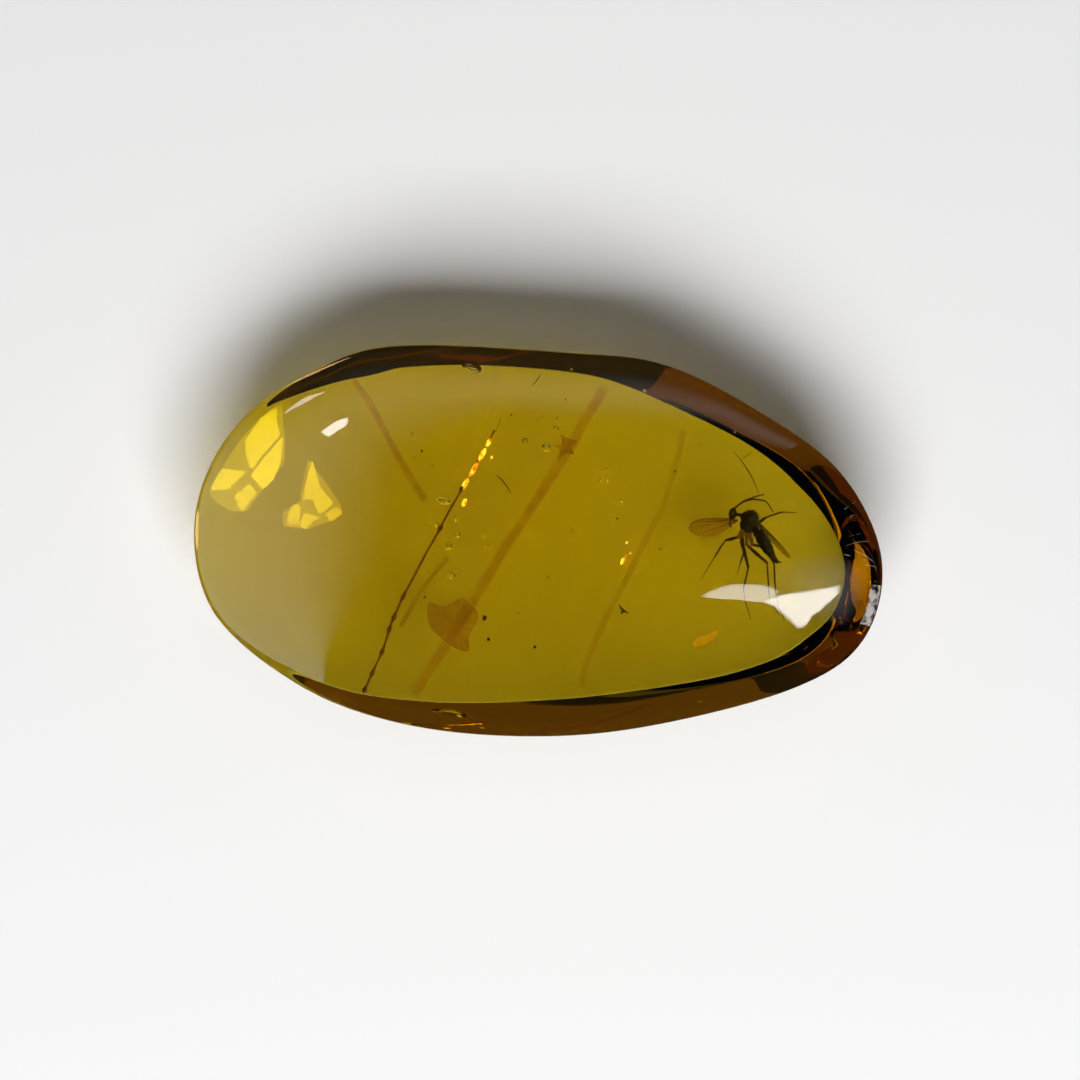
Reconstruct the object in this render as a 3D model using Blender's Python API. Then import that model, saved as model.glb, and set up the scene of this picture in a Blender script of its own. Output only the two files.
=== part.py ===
"""An insect in amber: a polished pebble of clear golden amber with a fungus gnat sealed in it.

The amber is one natural piece. It is parted on a level plane at its girdle, into a lower and an upper half,
so that the gnat, a beaded plant thread, a scrap of leaf and three bands of darker resin, where one flow met
the next, can lie in pockets and grooves of their own at that plane.
Metres, +Z up, +X along the pebble. The origin is the middle of the flat back, on which the pebble lies.
"""
import math

import bmesh
import bpy
import numpy as np
from mathutils import Matrix, Vector

MM = 0.001

# The pebble
LENGTH = 28.0 * MM
WIDTH = 15.93 * MM
THICKNESS = 8.2 * MM
GIRDLE_HEIGHT = 4.1 * MM
DOME_FULLNESS = 2.4  # exponent of the dome's reach: 2 is an ellipse, more is flatter on top
DOME_EDGE = 1.3  # exponent of the dome's height: 2 meets the girdle upright, 1 at an angle, like a lens
BACK_EDGE_SLOPE = math.radians(46)  # slope at which the under bevel leaves the flat back
BEVEL_HEEL = 0.5  # share of the bevel's width over which that slope still leads
BEVEL_KNEE = 0.84  # share of the girdle's height from which the bevel rises upright
PARTING_GAP = 0.05 * MM  # between the two halves, which the real pebble doesn't have

# Seen from above, anticlockwise from the blunt right end: points of a smooth closed curve, in mm. Their shape
# counts, because the curve is fitted to LENGTH and WIDTH. The third value is the flat back's inset there.
OUTLINE = [
    (13.9, -0.7, 2.52), (12.2, 2.8, 2.76), (8.75, 5.35, 2.91), (5.05, 7.15, 3.03), (1.2, 7.65, 2.67),
    (-5.35, 7.95, 2.65), (-8.6, 7.2, 2.36), (-12.2, 4.85, 1.66), (-14.0, 1.25, 1.50), (-13.35, -2.8, 1.57),
    (-9.85, -5.85, 2.03), (-5.8, -7.4, 2.66), (-0.95, -7.95, 3.10), (4.1, -7.6, 3.13), (10.2, -6.05, 2.76),
    (13.15, -4.05, 2.66),
]
OUTLINE_STEPS = 6  # points of the mesh from one outline point to the next
BACK_EASING = 12  # how often the flat back's edge is smoothed
BEVEL_RINGS = 10
DOME_RINGS = 16

# The gnat, in mm from the middle of its thorax: +X towards the pebble's blunt end, +Z up towards the dome
GNAT_PLACE = Vector((8.22 * MM, 0.61 * MM, GIRDLE_HEIGHT))
THORAX = [((0.02, 0.08, 0.0), (0.37, 0.36, 0.35), 20), ((-0.10, -0.16, 0.0), (0.27, 0.33, 0.30), 25)]
HEAD = ((-0.66, 0.28, 0.0), (0.17, 0.25, 0.21), -10)  # middle, half sizes, turn in degrees
NECK = [(-0.62, 0.27, 0.0), (-0.25, 0.20, 0.0)]
MOUTHPARTS = [(-0.68, 0.10, 0.02), (-0.74, -0.10, 0.05)]
ABDOMEN = [
    (0.10, -0.08, 0.0), (0.28, -0.29, 0.0), (0.47, -0.57, 0.01), (0.69, -0.92, 0.02), (0.92, -1.26, 0.03),
    (1.07, -1.44, 0.03), (1.16, -1.50, 0.03),
]
ABDOMEN_RADII = [0.14, 0.17, 0.21, 0.235, 0.19, 0.11, 0.06]
ANTENNAE = {
    "near": [
        (-0.62, 0.46, 0.08), (-0.26, 0.73, 0.14), (0.07, 0.86, 0.16), (0.29, 0.93, 0.14), (0.62, 1.01, 0.08),
    ],
    "far": [
        (-0.63, 0.46, -0.08), (-0.25, 0.70, -0.16), (0.11, 0.79, -0.22), (0.37, 0.77, -0.26),
        (0.63, 0.71, -0.28), (0.78, 0.53, -0.28), (0.93, 0.31, -0.26),
    ],
}
ANTENNA_RADII = (0.042, 0.022)  # at the root and at the tip

# Each leg runs from inside the thorax: coxa end, femur, knee, tibia end, then the tarsus
LEGS = {
    "fore_near": [
        (-0.22, -0.22, 0.10), (-0.42, -0.57, 0.18), (-0.66, -0.63, 0.23), (-0.90, -0.67, 0.24),
        (-1.27, -1.17, 0.16), (-1.84, -2.06, -0.10),
    ],
    "fore_far": [
        (-0.20, -0.22, -0.12), (-0.34, -0.60, -0.22), (-0.30, -0.85, -0.28), (-0.22, -1.10, -0.32),
        (-0.34, -1.45, -0.34), (-0.48, -1.90, -0.34),
    ],
    "mid_near": [
        (-0.16, -0.26, 0.12), (-0.24, -0.55, 0.22), (-0.21, -0.91, 0.28), (0.00, -1.68, 0.32),
        (-0.18, -2.41, 0.20), (-0.13, -2.86, 0.08), (0.11, -3.51, -0.10),
    ],
    "mid_far": [
        (0.00, -0.18, -0.14), (0.10, -0.34, -0.36), (0.31, -0.10, -0.44), (0.60, 0.11, -0.46),
        (1.22, 0.31, -0.40), (1.84, 0.31, -0.30),
    ],
    "hind_near": [
        (-0.08, -0.32, 0.08), (-0.08, -0.84, 0.20), (0.29, -1.16, 0.26), (0.74, -1.51, 0.28),
        (0.81, -2.54, 0.16), (0.90, -2.95, 0.10), (1.24, -3.40, 0.06),
    ],
    "hind_far": [
        (-0.02, -0.32, -0.10), (0.10, -0.86, -0.24), (0.55, -0.99, -0.32), (0.96, -1.51, -0.30),
        (1.03, -2.54, -0.20), (1.15, -3.00, -0.20), (1.40, -3.52, -0.18),
    ],
}
LEG_RADII = (0.085, 0.070, 0.062, 0.040, 0.032, 0.024, 0.018)  # tapering along the leg's points
MOUTHPART_RADII = (0.05, 0.03)
NECK_RADII = (0.07, 0.09)

# A wing's outline, in mm along it from its root and across it from its axis
WING_OUTLINE = [
    (0.00, 0.04), (0.40, 0.10), (1.00, 0.14), (1.50, 0.12), (1.82, 0.00), (1.95, -0.17), (1.84, -0.36),
    (1.45, -0.53), (0.95, -0.53), (0.52, -0.36), (0.20, -0.12), (0.00, -0.05),
]
WING_THICKNESS = 0.03
# Root, a point that the wing runs towards, and the direction across it
WINGS = {
    "far": ((-0.14, 0.02, -0.22), (-2.24, -0.02, -0.36), (0.02, 1.0, -0.18)),
    "near": ((0.20, 0.04, 0.22), (1.45, -1.20, 0.34), (0.24, 0.28, -0.93)),
}
GNAT_POCKET_PLACE = Vector((8.15 * MM, -0.2 * MM, GIRDLE_HEIGHT))
GNAT_POCKET_HALF_SIZES = (2.6 * MM, 3.25 * MM, 1.0 * MM)

# The plant thread, in mm seen from above; it lies on the parting plane
THREAD_ROUTE = [
    (-1.79, 3.97), (-2.55, 2.63), (-3.13, 1.73), (-3.83, 0.51), (-4.45, -0.58), (-5.00, -1.53), (-5.38, -2.22),
    (-5.76, -3.11), (-6.14, -4.12), (-6.53, -4.89), (-6.99, -5.83),
]
THREAD_RADIUS = 0.045
THREAD_BEAD_RADIUS = 0.095
THREAD_BEAD_LENGTH = 0.16
THREAD_BEADS = (2.35, 4.05, 6.90, 7.75, 8.25, 9.15, 10.1, 10.9)  # mm along the thread, from its upper end
THREAD_STEP = 0.12
GROOVE_RADIUS = 0.22

# The scrap of leaf, in mm from its middle
SCRAP_PLACE = Vector((-3.25 * MM, -2.99 * MM, GIRDLE_HEIGHT))
SCRAP_OUTLINE = [
    (0.58, 0.68), (0.86, 0.42), (0.85, 0.06), (0.55, -0.42), (0.52, -0.98), (0.22, -0.98), (-0.05, -0.88),
    (-0.40, -0.66), (-0.72, -0.40), (-0.98, -0.14), (-1.07, 0.25), (-1.05, 0.74), (-0.70, 0.66),
    (-0.42, 0.62), (-0.12, 0.75), (0.14, 0.87), (0.36, 0.92),
]
SCRAP_THICKNESS = 0.06
SCRAP_POCKET_MARGIN = 0.16
SCRAP_POCKET_DEPTH = 0.36  # of the whole pocket, half of it in each half of the pebble

# The bands of darker resin, in mm: the height of the groove's floor, on which the band lies, its width, and
# its route seen from above. The main one passes under the scrap of leaf.
FLOW_BANDS = {
    "flow_band_main": (3.46, 0.52, [
        (2.70, 5.55), (1.84, 4.20), (1.21, 3.21), (-0.73, 0.59), (-2.28, -1.78), (-3.60, -3.69), (-4.95, -5.65),
    ]),
    "flow_band_left": (3.92, 0.38, [(-7.38, 6.15), (-6.60, 5.06), (-5.62, 3.32), (-4.64, 1.80), (-4.35, 1.48)]),
    "flow_band_right": (3.92, 0.38, [
        (5.66, 4.10), (5.05, 1.73), (4.37, 0.34), (3.61, -1.11), (2.62, -2.84), (1.83, -4.48), (1.66, -5.50),
    ]),
}
BAND_THICKNESS = 0.10
BAND_STEPS = 2  # points of the mesh from one point of the route to the next
BAND_LIFT = 0.01  # between a band and its groove's floor
GROOVE_MARGIN = 0.12  # of a groove round its band
GROOVE_TOP = 4.3  # over the parting plane

ROUND_SIDES = 6  # sides of a leg, an antenna and the thread
BODY_SIDES = 12


def material(name, colour, roughness, see_through=0.0, alpha=1.0):
    """A Principled material."""
    new = bpy.data.materials.new(name)
    new.use_nodes = True
    sockets = new.node_tree.nodes["Principled BSDF"].inputs
    sockets["Base Color"].default_value = (*colour, 1.0)
    sockets["Roughness"].default_value = roughness
    sockets["Metallic"].default_value = 0.0
    sockets["IOR"].default_value = 1.54
    sockets["Transmission Weight"].default_value = see_through
    sockets["Alpha"].default_value = alpha
    new.diffuse_color = (*colour, alpha)
    return new


def object_of(name, shape, finish=None):
    """A new object from a bmesh, which is freed."""
    bmesh.ops.recalc_face_normals(shape, faces=shape.faces)
    mesh = bpy.data.meshes.new(name)
    shape.to_mesh(mesh)
    shape.free()
    new = bpy.data.objects.new(name, mesh)
    bpy.context.scene.collection.objects.link(new)
    if finish:
        mesh.materials.append(finish)
    return new


def cutter_of(name, shape):
    """An object that only cuts others."""
    cutter = object_of(name, shape)
    cutter.hide_render = True
    cutter.display_type = "WIRE"
    return cutter


def smooth_curve(points, steps, closed=False):
    """Points of the smooth curve through the given ones: a Catmull-Rom spline."""
    points = [Vector(point) for point in points]
    count = len(points)
    if not closed:
        points = [2 * points[0] - points[1], *points, 2 * points[-1] - points[-2]]
    spans = count if closed else count - 1
    curve = []
    for span in range(spans):
        if closed:
            before, start, end, after = (points[(span + turn) % count] for turn in (-1, 0, 1, 2))
        else:
            before, start, end, after = points[span : span + 4]
        for step in range(steps):
            part = step / steps
            curve.append(0.5 * (
                2 * start
                + (end - before) * part
                + (2 * before - 5 * start + 4 * end - after) * part**2
                + (3 * start - before - 3 * end + after) * part**3
            ))
    return curve if closed else [*curve, points[-2]]


def rings_to_shape(rings):
    """A closed bmesh through rings of points, with a face over the first and the last ring."""
    shape = bmesh.new()
    loops = [[shape.verts.new(point) for point in ring] for ring in rings]
    for low, high in zip(loops, loops[1:]):
        for corner in range(len(low)):
            following = (corner + 1) % len(low)
            shape.faces.new((low[corner], low[following], high[following], high[corner]))
    shape.faces.new(reversed(loops[0]))
    shape.faces.new(loops[-1])
    return shape


def tube(points, radii, sides=ROUND_SIDES):
    """A closed tube along the points, whose rings are mitred at each bend. The radii are spread along it."""
    points = [Vector(point) for point in points]
    spread = np.interp(np.linspace(0, 1, len(points)), np.linspace(0, 1, len(radii)), radii)
    runs = [(end - start).normalized() for start, end in zip(points, points[1:])]
    across = runs[0].orthogonal().normalized()
    rings = []
    for index, point in enumerate(points):
        along = (runs[max(index - 1, 0)] + runs[min(index, len(runs) - 1)]).normalized()
        across = (across - along * across.dot(along)).normalized()
        other = along.cross(across)
        radius = float(spread[index])
        turns = (2 * math.pi * side / sides for side in range(sides))
        rings.append([point + radius * (math.cos(turn) * across + math.sin(turn) * other) for turn in turns])
    return rings_to_shape(rings)


def ellipsoid(middle, half_sizes, turn=0.0, sides=BODY_SIDES):
    """A closed ellipsoid, turned about Z by a number of degrees."""
    shape = bmesh.new()
    turned = Matrix.Rotation(math.radians(turn), 4, "Z")
    place = Matrix.Translation(middle) @ turned @ Matrix.Diagonal((*half_sizes, 1))
    bmesh.ops.create_uvsphere(shape, u_segments=sides, v_segments=sides // 2 + 1, radius=1, matrix=place)
    return shape


def plate(outline, place, thickness):
    """A closed flat plate. The matrix puts its outline, given in the plate's own plane, where it belongs."""
    shape = bmesh.new()
    corners = [shape.verts.new(place @ Vector((along, across, -thickness / 2))) for along, across in outline]
    face = shape.faces.new(corners)
    lifted = bmesh.ops.extrude_face_region(shape, geom=[face])["geom"]
    lifted = [part for part in lifted if isinstance(part, bmesh.types.BMVert)]
    bmesh.ops.translate(shape, verts=lifted, vec=place.to_3x3() @ Vector((0, 0, thickness)))
    return shape


def boolean(target, operation, tool):
    modifier = target.modifiers.new(f"{operation.lower()} {tool.name}", "BOOLEAN")
    modifier.operation = operation
    modifier.solver = "EXACT"
    modifier.object = tool


def joined(name, shapes, finish):
    """One closed body from overlapping closed shapes."""
    parts = [object_of(f"{name}_{index}", shape) for index, shape in enumerate(shapes)]
    whole = parts[0]
    for part in parts[1:]:
        boolean(whole, "UNION", part)
    graph = bpy.context.evaluated_depsgraph_get()
    mesh = bpy.data.meshes.new_from_object(whole.evaluated_get(graph))
    for part in parts:
        bpy.data.objects.remove(part)
    mesh.name = name
    mesh.materials.clear()
    mesh.materials.append(finish)
    new = bpy.data.objects.new(name, mesh)
    bpy.context.scene.collection.objects.link(new)
    return new


def from_mm(thing, place):
    """Brings an object modelled in mm about its own middle to its real size, at its place in the pebble."""
    thing.data.transform(Matrix.Diagonal((MM, MM, MM, 1)))
    thing.location = place


def pebble_outline():
    """The girdle seen from above, fitted to the pebble's size, and the flat back's edge inside it."""
    points = np.array([point[:] for point in smooth_curve(OUTLINE, OUTLINE_STEPS, closed=True)])
    curve, insets = points[:, :2], points[:, 2:] * MM
    low, high = curve.min(axis=0), curve.max(axis=0)
    curve = (curve - (low + high) / 2) * (LENGTH, WIDTH) / (high - low)
    along = np.roll(curve, -1, axis=0) - np.roll(curve, 1, axis=0)
    outwards = np.stack([along[:, 1], -along[:, 0]], axis=1)
    outwards /= np.linalg.norm(outwards, axis=1)[:, None]
    return curve, eased(curve - outwards * insets, BACK_EASING)


def eased(points, passes):
    """A closed curve's points, each drawn towards its neighbours as often as the passes say."""
    for _ in range(passes):
        points = (np.roll(points, 1, axis=0) + 2 * points + np.roll(points, -1, axis=0)) / 4
    return points


def lower_rings():
    """From the flat back, over the rounded bevel, to the girdle, just under the parting plane.

    Each ring is a level of the Bezier curve from the back's edge, over the heel and the knee, to the girdle.
    """
    curve, back = pebble_outline()
    top = GIRDLE_HEIGHT - PARTING_GAP / 2
    widths = np.linalg.norm(curve - back, axis=1)
    heel_heights = widths * BEVEL_HEEL * math.tan(BACK_EDGE_SLOPE)
    rings = []
    for part in np.linspace(0, 1, BEVEL_RINGS + 1):
        at_heel, at_knee, at_top = 3 * part * (1 - part) ** 2, 3 * part**2 * (1 - part), part**3
        places = back + (curve - back) * (BEVEL_HEEL * at_heel + at_knee + at_top)
        heights = heel_heights * at_heel + top * (BEVEL_KNEE * at_knee + at_top)
        rings.append([Vector((x, y, height)) for (x, y), height in zip(places, heights)])
    return rings


def upper_rings():
    """From the girdle, just over the parting plane, up to the top of the dome."""
    curve, _ = pebble_outline()
    base = GIRDLE_HEIGHT + PARTING_GAP / 2
    rings = []
    for ring in range(DOME_RINGS):
        lift = math.pi / 2 * ring / DOME_RINGS
        reach = math.cos(lift) ** (2 / DOME_FULLNESS)
        height = base + (THICKNESS - base) * math.sin(lift) ** (2 / DOME_EDGE)
        rings.append([Vector((x, y, height)) for x, y in curve * reach])
    return rings


def dome_shape():
    """The upper rings, closed by a fan of triangles to the very top."""
    shape = rings_to_shape(upper_rings())
    shape.faces.ensure_lookup_table()
    top = bmesh.ops.poke(shape, faces=[shape.faces[-1]])["verts"][0]
    top.co = Vector((0, 0, THICKNESS))
    return shape


def gnat_pocket():
    return cutter_of("gnat_pocket", ellipsoid(GNAT_POCKET_PLACE, GNAT_POCKET_HALF_SIZES, sides=24))


def thread_groove():
    """A round groove along the thread, a little longer than it at both ends."""
    route = [Vector((x, y, 0)) for x, y in THREAD_ROUTE]
    first, last = (route[0] - route[1]).normalized(), (route[-1] - route[-2]).normalized()
    route[0] += GROOVE_RADIUS * first
    route[-1] += GROOVE_RADIUS * last
    groove = cutter_of("thread_groove", tube(route, (GROOVE_RADIUS, GROOVE_RADIUS), sides=8))
    from_mm(groove, Vector((0, 0, GIRDLE_HEIGHT)))
    return groove


def scrap_pocket():
    """A flat hollow of the scrap's own outline, wider by the margin all round."""
    grown = [Vector(point) * (1 + SCRAP_POCKET_MARGIN / Vector(point).length) for point in SCRAP_OUTLINE]
    pocket = cutter_of("scrap_pocket", plate(grown, Matrix.Identity(4), SCRAP_POCKET_DEPTH))
    from_mm(pocket, SCRAP_PLACE)
    return pocket


def ribbon(route, width, low, high):
    """A closed level strip along the route, between two heights, in mm."""
    route = [Vector((x, y, 0)) for x, y in route]
    rings = []
    for index, point in enumerate(route):
        run = route[min(index + 1, len(route) - 1)] - route[max(index - 1, 0)]
        aside = Vector((-run.y, run.x, 0)).normalized() * width / 2
        corners = ((1, low), (-1, low), (-1, high), (1, high))
        rings.append([point + side * aside + Vector((0, 0, height)) for side, height in corners])
    return rings_to_shape(rings)


def band_route(points):
    return [point.xy for point in smooth_curve([(*point, 0) for point in points], BAND_STEPS)]


def band_groove(name):
    """A groove in the lower half, open at the parting plane, a margin wider and longer than its band."""
    floor, width, points = FLOW_BANDS[name]
    route = band_route(points)
    route[0] += GROOVE_MARGIN * (route[0] - route[1]).normalized()
    route[-1] += GROOVE_MARGIN * (route[-1] - route[-2]).normalized()
    groove = cutter_of(f"{name}_groove", ribbon(route, width + 2 * GROOVE_MARGIN, floor, GROOVE_TOP))
    from_mm(groove, Vector((0, 0, 0)))
    return groove


def make_amber():
    """The two halves of the pebble, with their halves of the pockets. The lower one has the bands' grooves."""
    amber = material("amber", (0.62, 0.44, 0.03), 0.05, see_through=1.0, alpha=0.45)
    lower = object_of("amber_lower", rings_to_shape(lower_rings()), amber)
    upper = object_of("amber_upper", dome_shape(), amber)
    for pocket in (gnat_pocket(), thread_groove(), scrap_pocket()):
        boolean(lower, "DIFFERENCE", pocket)
        boolean(upper, "DIFFERENCE", pocket)
    for name in FLOW_BANDS:
        boolean(lower, "DIFFERENCE", band_groove(name))


def wing(root, towards, across):
    """A thin wing blade of the shared outline, from its root towards a point."""
    root = Vector(root)
    along = (Vector(towards) - root).normalized()
    across = Vector(across)
    across = (across - along * across.dot(along)).normalized()
    place = Matrix.Translation(root) @ Matrix((along, across, along.cross(across))).transposed().to_4x4()
    return plate(WING_OUTLINE, place, WING_THICKNESS)


def make_gnat():
    """The gnat as one closed body, modelled in mm and then brought to its real size."""
    shapes = [ellipsoid(*part) for part in THORAX]
    shapes.append(ellipsoid(*HEAD))
    shapes.append(tube(NECK, NECK_RADII))
    shapes.append(tube(MOUTHPARTS, MOUTHPART_RADII))
    shapes.append(tube(ABDOMEN, ABDOMEN_RADII, sides=BODY_SIDES))
    shapes += [tube(route, ANTENNA_RADII) for route in ANTENNAE.values()]
    shapes += [tube(route, LEG_RADII[: len(route)]) for route in LEGS.values()]
    shapes += [wing(*blade) for blade in WINGS.values()]
    gnat = joined("gnat", shapes, material("gnat", (0.035, 0.018, 0.010), 0.5))
    from_mm(gnat, GNAT_PLACE)


def make_thread():
    """The plant thread: a thin stem with small beads along it."""
    route = smooth_curve([(x, y, 0) for x, y in THREAD_ROUTE], 24)
    distances = np.concatenate([[0], np.cumsum([(b - a).length for a, b in zip(route, route[1:])])])
    stops = np.linspace(0, distances[-1], int(distances[-1] / THREAD_STEP) + 1)
    axes = [[point[axis] for point in route] for axis in range(3)]
    points = [Vector([np.interp(stop, distances, values) for values in axes]) for stop in stops]
    radii = [
        THREAD_RADIUS + (THREAD_BEAD_RADIUS - THREAD_RADIUS)
        * max(max(0, 1 - (abs(stop - bead) / THREAD_BEAD_LENGTH) ** 2) for bead in THREAD_BEADS)
        for stop in stops
    ]
    finish = material("plant_thread", (0.10, 0.045, 0.012), 0.6)
    thread = object_of("plant_thread", tube(points, radii), finish)
    from_mm(thread, Vector((0, 0, GIRDLE_HEIGHT)))


def make_scrap():
    scrap = object_of(
        "leaf_scrap", plate(SCRAP_OUTLINE, Matrix.Identity(4), SCRAP_THICKNESS),
        material("leaf_scrap", (0.22, 0.10, 0.015), 0.6),
    )
    from_mm(scrap, SCRAP_PLACE)


def make_flow_bands():
    """The bands of darker resin, each lying on the floor of its groove."""
    finish = material("flow_band", (0.34, 0.16, 0.01), 0.3, see_through=0.6, alpha=0.6)
    for name, (floor, width, points) in FLOW_BANDS.items():
        low = floor + BAND_LIFT
        band = object_of(name, ribbon(band_route(points), width, low, low + BAND_THICKNESS), finish)
        from_mm(band, Vector((0, 0, 0)))


def main():
    for thing in list(bpy.data.objects):
        bpy.data.objects.remove(thing)
    make_amber()
    make_gnat()
    make_thread()
    make_scrap()
    make_flow_bands()


main()
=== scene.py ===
"""Insect in amber: the looks of a polished pebble of clear amber with a fungus gnat sealed in it.

The file is laid out as an add-on and is run as a script. A gem is measured in millimetres, so the lists
below are in millimetres and the pieces are modelled at a thousand times their size. Each is brought to
metres, in the frame of the solids, when it is finished.
"""
import bisect
import math
import random
from contextlib import contextmanager

import bmesh
import bpy
from mathutils import Matrix, Vector, noise


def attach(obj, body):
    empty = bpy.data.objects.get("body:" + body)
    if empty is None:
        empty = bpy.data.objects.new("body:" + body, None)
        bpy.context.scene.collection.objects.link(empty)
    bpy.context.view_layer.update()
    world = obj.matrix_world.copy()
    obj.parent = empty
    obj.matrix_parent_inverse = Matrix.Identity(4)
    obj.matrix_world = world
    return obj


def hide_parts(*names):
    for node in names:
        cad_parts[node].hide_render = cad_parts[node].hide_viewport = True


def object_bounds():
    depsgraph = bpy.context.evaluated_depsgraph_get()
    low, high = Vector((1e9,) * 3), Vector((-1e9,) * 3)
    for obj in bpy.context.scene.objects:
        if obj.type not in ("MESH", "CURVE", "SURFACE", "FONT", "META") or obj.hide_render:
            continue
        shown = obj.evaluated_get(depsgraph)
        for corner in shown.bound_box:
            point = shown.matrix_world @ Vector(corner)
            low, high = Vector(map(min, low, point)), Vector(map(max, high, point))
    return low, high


bl_info = {
    "name": "Insect in Amber",
    "version": (1, 0, 0),
    "blender": (4, 5, 0),
    "location": "3D View > Sidebar > Amber",
    "description": "A polished amber pebble with a gnat, a plant thread and a scrap of leaf sealed in it",
    "category": "Add Mesh",
}

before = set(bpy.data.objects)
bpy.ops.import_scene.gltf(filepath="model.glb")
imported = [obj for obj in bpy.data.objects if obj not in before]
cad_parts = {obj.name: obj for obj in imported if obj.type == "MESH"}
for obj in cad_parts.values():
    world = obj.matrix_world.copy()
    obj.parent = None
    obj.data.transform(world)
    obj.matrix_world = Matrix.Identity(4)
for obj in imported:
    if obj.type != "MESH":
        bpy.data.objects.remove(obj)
CAD_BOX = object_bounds()
MM = 0.001

# The pebble seen from above, anticlockwise from its blunt end: points of a smooth closed curve, fitted to
# the solids' length and width, each with how far inside it the flat back ends.
OUTLINE = [
    (13.9, -0.7, 2.52), (12.2, 2.8, 2.76), (8.75, 5.35, 2.91), (5.05, 7.15, 3.03), (1.2, 7.65, 2.67),
    (-5.35, 7.95, 2.65), (-8.6, 7.2, 2.36), (-12.2, 4.85, 1.66), (-14.0, 1.25, 1.50), (-13.35, -2.8, 1.57),
    (-9.85, -5.85, 2.03), (-5.8, -7.4, 2.66), (-0.95, -7.95, 3.10), (4.1, -7.6, 3.13), (10.2, -6.05, 2.76),
    (13.15, -4.05, 2.66),
]
OUTLINE_STEPS = 45  # stations from one outline point to the next, for reading the outline
PEBBLE_SIDES = 192
BACK_RINGS = 4
BEVEL_RINGS = 22
BEVEL_HEEL = 0.5
BEVEL_KNEE = 0.84
DOME_RINGS = 46
BACK_EASING = 20

# Gas bubbles: where each is seen from straight above, its height over the back, and its half sizes with
# the turn of the longer one in degrees.
BUBBLES = [
    (-2.70, 7.02, 5.0, 0.44, 0.27, -27), (-3.84, 1.61, 5.2, 0.28, 0.16, -12),
    (-0.54, 3.99, 6.0, 0.15, 0.12, 60), (0.31, 3.76, 5.6, 0.20, 0.19, 0),
    (-3.27, 0.22, 5.4, 0.14, 0.12, 40), (-3.63, -0.22, 5.3, 0.15, 0.14, 40),
    (-3.50, -1.40, 5.1, 0.16, 0.14, 30), (-3.26, -1.20, 5.2, 0.10, 0.08, 0),
    (0.15, 4.94, 5.8, 0.08, 0.06, 20), (0.76, 4.94, 5.8, 0.07, 0.07, 0),
    (0.72, 4.54, 5.7, 0.14, 0.07, -20), (2.71, 2.87, 5.9, 0.07, 0.07, 0),
    (2.51, 2.42, 5.8, 0.08, 0.08, 0), (2.75, 2.42, 5.6, 0.07, 0.10, 0), (3.32, 1.57, 5.4, 0.10, 0.08, 0),
    (2.79, 1.04, 5.3, 0.08, 0.07, 0), (1.37, 0.39, 5.5, 0.07, 0.07, 0), (-2.21, 0.18, 5.0, 0.07, 0.07, 0),
    (-2.09, -0.22, 5.0, 0.10, 0.08, 0), (-3.36, 0.84, 5.1, 0.10, 0.08, 20),
    (-4.15, 0.65, 5.0, 0.11, 0.08, 50), (4.30, 6.05, 4.6, 0.10, 0.07, -20),
    (1.35, 6.95, 4.7, 0.08, 0.07, 0), (7.95, 4.40, 5.2, 0.07, 0.07, 0), (-5.10, 4.30, 5.4, 0.07, 0.07, 0),
    (4.95, -0.35, 5.0, 0.07, 0.06, 0), (0.40, -1.50, 5.5, 0.06, 0.06, 0),
]

# The gnat, from the middle of its thorax: +X towards the pebble's blunt end, +Z up towards the dome
GNAT_PLACE = (8.22, 0.61, 4.1)
THORAX = [
    ((0.03, 0.10, 0.0), (0.36, 0.33, 0.34), 20), ((-0.10, -0.16, 0.0), (0.27, 0.33, 0.29), 25),
    ((0.30, -0.05, 0.0), (0.13, 0.10, 0.16), -40), ((-0.16, 0.16, 0.0), (0.20, 0.20, 0.22), 0),
]
HEAD = ((-0.66, 0.28, 0.0), (0.16, 0.24, 0.20), -10)
EYES = [((-0.68, 0.32, side * 0.13), (0.125, 0.17, 0.10), -10) for side in (-1, 1)]
NECK = [(-0.60, 0.27, 0.0), (-0.42, 0.25, 0.0), (-0.22, 0.20, 0.0)]
PALPS = [
    [
        (-0.68, 0.10, side * 0.06), (-0.76, 0.00, side * 0.10), (-0.76, -0.12, side * 0.12),
        (-0.70, -0.20, side * 0.12),
    ]
    for side in (-1, 1)
]
ABDOMEN = [
    (0.10, -0.08, 0.0), (0.28, -0.29, 0.0), (0.47, -0.57, 0.01), (0.69, -0.92, 0.02), (0.92, -1.26, 0.03),
    (1.07, -1.44, 0.03), (1.16, -1.50, 0.03),
]
ABDOMEN_RADII = [0.16, 0.20, 0.235, 0.250, 0.20, 0.12, 0.06]
ABDOMEN_SEGMENTS = 7
CERCI = [
    [(1.12, -1.47, side * 0.05), (1.20, -1.50, side * 0.07), (1.26, -1.49, side * 0.06)]
    for side in (-1, 1)
]
ANTENNAE = [
    [(-0.62, 0.46, 0.08), (-0.26, 0.73, 0.14), (0.07, 0.86, 0.16), (0.29, 0.93, 0.14), (0.62, 1.01, 0.08)],
    [
        (-0.63, 0.46, -0.08), (-0.25, 0.70, -0.16), (0.11, 0.79, -0.22), (0.37, 0.77, -0.26),
        (0.63, 0.71, -0.28), (0.78, 0.53, -0.28), (0.93, 0.31, -0.26),
    ],
]
ANTENNA_SEGMENTS = 16
ANTENNA_RADII = (0.040, 0.034, 0.022)
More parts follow.
